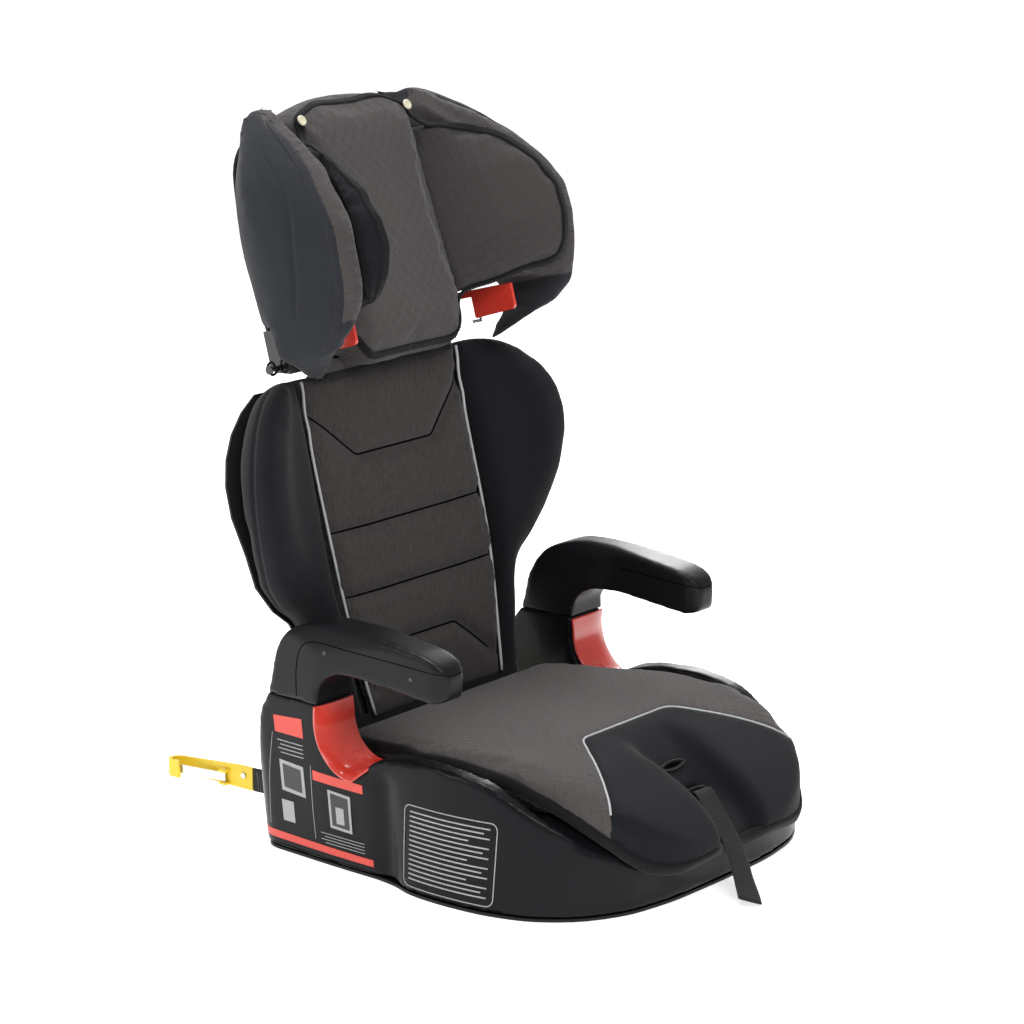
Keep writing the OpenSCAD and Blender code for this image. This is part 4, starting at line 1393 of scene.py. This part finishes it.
HARD_PARTS = [
    ("rear_stops", "base", "rubber", 2.0),
    ("rod_brackets", "base", "part", 1.0),
    ("back_shell", "back", "part", 0.8),
    ("back_flank_left", "back", "black", 3.0),
    ("back_flank_right", "back", "black", 3.0),
    ("back_hooks", "back", "part", 0.7),
    ("height_rack_left", "back", "part", 0.4),
    ("height_rack_right", "back", "part", 0.4),
    ("head_shell", "head", "part", 0.8),
    ("head_slider", "head", "part", 0.5),
    ("guide_bracket_left", "head", "gloss", 0.8),
    ("guide_bracket_right", "head", "gloss", 0.8),
    ("shoulder_guide_left", "head", "red", 0.9),
    ("shoulder_guide_right", "head", "red", 0.9),
    ("release_handle", "handle", "lever", 1.6),
]


def make_hard_parts(m):
    for node, body, material, width in HARD_PARTS:
        piece = bevelled(node + "_moulding", width, node)
        dress(piece, body, m[material])
        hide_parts(node)
    finish_cad(m["steel"], "back_screws", "slider_screws", "lock_bar", "guide_clips")
    axis = back(0, 0, 1) - back(0, 0, 0)
    spring = coil("handle_return_spring", back(0, -42, 423), axis, 3.6, 0.45, 27, 12, m["spring"])
    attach(spring, "head")
    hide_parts("handle_spring")


# ---------------------------------------------------------------- head

# Leading edge of a wing, from its top down to the tip of its skirt
EAR_EDGE = [(104, 30, 604), (112, 40, 598), (118, 54, 586), (130, 77, 570), (142, 101, 550),
            (151, 118, 532), (164, 137, 504), (171, 150, 476), (173, 151, 446), (171, 148, 416),
            (171, 140, 392), (172, 131, 376), (167, 108, 360), (151, 82, 352), (141, 62, 344),
            (132, 46, 337)]
EAR_SEAM = [(129, 15, 598), (160, 56, 555), (174, 82.5, 519.5), (180, 91, 494), (183, 90, 467),
            (182, 84, 430), (182, 75, 401.5)]
# How far the inner cloth wraps round a wing's edge: heights, and the width at each
EAR_WRAP = ((350, 400, 560), (4, 17, 12))
# The inner cloth starts this far forward and this far up
EAR_CLOTH_FORWARD = 22
EAR_CLOTH_FOOT = 386
# Bound edge that runs round the middle pad and out over the inner pad, right half
HEAD_BINDING = [(0, 55, 338), (40, 55, 339), (66, 54, 346), (80, 50, 364), (88, 47, 382),
                (104, 84, 388), (122, 125, 393), (136, 143, 400), (137.5, 156, 417), (134.5, 165, 446),
                (136.5, 162, 477), (132.5, 147, 505), (126, 119.5, 530), (110.5, 85, 547), (94, 60, 557),
                (85, 42, 572), (82, 34, 590), (66, 31, 599), (40, 31, 604), (0, 31, 604.5)]
BUTTON = (78, 37, 581)
BUTTON_TILT = 14
# Turned shape of a snap button, radius and height
BUTTON_RINGS = [(2.5, -1.0), (4.6, -0.2), (5.3, 0.6), (5.3, 1.4), (4.7, 2.3), (3.9, 2.5), (3.4, 1.9),
                (2.0, 1.8), (0.4, 1.8)]
# Loose edge of the cover under the head pad: half its length, its waves and its steps
FLAP_REACH = 101
FLAP_WAVE = 0.7
FLAP_STEPS = 50
# Elastic loop beside the slider: middle place, radius and how far its upper half is drawn out
LOOP_MIDDLE = (135, -14, 354)
LOOP_RADIUS = 5.2
LOOP_STRETCH = 1.35


def make_wings(m):
    ear = soft("head_wing_right", "head_wing_pad_right", 1.0, 5.0, 12)
    skin = Skin(ear)
    seam = []
    for p in curve_through([back(*p) for p in EAR_SEAM], 3.0):
        seam.append(skin.nearest(p)[0])
    crease(ear, seam, *SEAM_PULL)
    coat(ear, m["slate"], m["wing"])
    centre, normal = faces_of(ear)
    edge = [back(*p) for p in EAR_EDGE]
    near = from_line(centre * MM, edge) / MM
    forward, up = forward_up(centre)
    wraps = near < np.interp(up, *EAR_WRAP)
    inner_side = normal[:, 0] < 0.15
    mark(ear, (inner_side | wraps) & (forward > EAR_CLOTH_FORWARD) & (up > EAR_CLOTH_FOOT), 1)
    skin = Skin(ear)
    hem = [back(x + 7, f - 18, u) for x, f, u in EAR_EDGE[2:-3]]
    laid = smoothed(skin.lay(curve_through(hem, 3.0), 0.2), 6)
    piping = sweep("ear_hem", laid, flat_profile(8, 1.4, 10), m["slate"], taper_mm=8)
    thread = stitches("ear_thread", smoothed(skin.lay(seam, 0.15), 2), m["thread"], 3.0, 2.1, 0.3, 2.6)
    right, left = on_both_sides(ear, "head", "head_wing_pad")
    on_both_sides(joined("head_wing_trim_right", [piping, thread]), "head")


def flap_line(forward_mm, height, normal):
    """A slightly wavy line across the foot of the head pad."""
    laid = []
    for k in range(FLAP_STEPS + 1):
        x = -FLAP_REACH + 2 * FLAP_REACH * k / FLAP_STEPS
        laid.append((back(x, forward_mm + FLAP_WAVE * math.sin(k * 0.5), height), normal))
    return laid


def make_head_binding(m, pad, inner):
    skin = Skin(pad, inner)
    laid = smoothed(skin.lay(curve_through([back(*p) for p in HEAD_BINDING], 3.0), 0.4), 6)
    for end in (0, -1):
        place, normal = laid[end]
        laid[end] = (Vector((0, place.y, place.z)), normal)
    band = sweep("binding_band", laid, flat_profile(8.5, 3.2, 12), m["binding"])
    threads = [stitches(f"binding_thread_{k}", laid, m["thread"], 3.2, 2.2, 0.35, side, 1.7)
               for k, side in enumerate((-2.6, 2.6))]
    on_both_sides(joined("head_binding_right", [band, *threads]), "head")


def make_head_flap(m):
    forward = back(0, 1, 0) - back(0, 0, 0)
    forward.normalize()
    flap = sweep("cover_flap", flap_line(10.4, 343.5, forward), flat_profile(17, 2.2, 16), m["head"])
    hem = sweep("flap_hem", flap_line(10.6, 336.6, forward), flat_profile(6, 3.4, 10), m["binding"])
    flap = joined("head_flap_cover", [flap, hem])
    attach(flap, "head")
    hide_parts("head_flap")


def make_head_pads(m):
    pad = soft("head_cover", "head_pad", 1.5, 5.0, 4)
    dress(pad, "head", m["head"])
    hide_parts("head_pad")
    inner = soft("inner_pad_right", "head_inner_pad_right", 1.0, 4.0, 3, 3.5)
    coat(inner, m["wing"], m["black"])
    _, normal = faces_of(inner)
    mark(inner, normal[:, 0] > -0.12, 1)
    right, left = on_both_sides(inner, "head", "head_inner_pad")
    make_head_binding(m, pad, right)
    make_head_flap(m)


def make_head_trim(m):
    place = back(*BUTTON)
    tilt = math.radians(BUTTON_TILT)
    axis = back(0, math.cos(tilt), math.sin(tilt)) - back(0, 0, 0)
    button = lathe("cover_button_right", place, axis, BUTTON_RINGS, m["button"])
    other = mirrored(button, "cover_button_left")
    pair = joined("cover_buttons", [button, other])
    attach(pair, "head")
    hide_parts("snap_buttons")
    loop = []
    x, forward, up = LOOP_MIDDLE
    for k in range(32):
        angle = 2 * math.pi * k / 32
        rise = math.sin(angle) * (LOOP_STRETCH if math.sin(angle) > 0 else 1.0)
        sway = 0.8 * math.sin(3 * angle)
        spot = back(x + sway, forward + LOOP_RADIUS * math.cos(angle), up + LOOP_RADIUS * rise)
        loop.append((spot, Vector((1, 0, 0))))
    elastic = sweep("elastic_a", loop, round_profile(1.3, 8), m["binding"], closed=True)
    pair = joined("elastic_loops", [mirrored(elastic, "elastic_b"), elastic])
    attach(pair, "head")
    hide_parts("cover_loops")


# ---------------------------------------------------------------- everything

make_camera()
make_stage()
materials = make_materials()
make_straps(materials)
make_base(materials)
make_arms(materials)
make_guides(materials)
make_cushion(materials)
make_back(materials)
make_hard_parts(materials)
make_wings(materials)
make_head_pads(materials)
make_head_trim(materials)
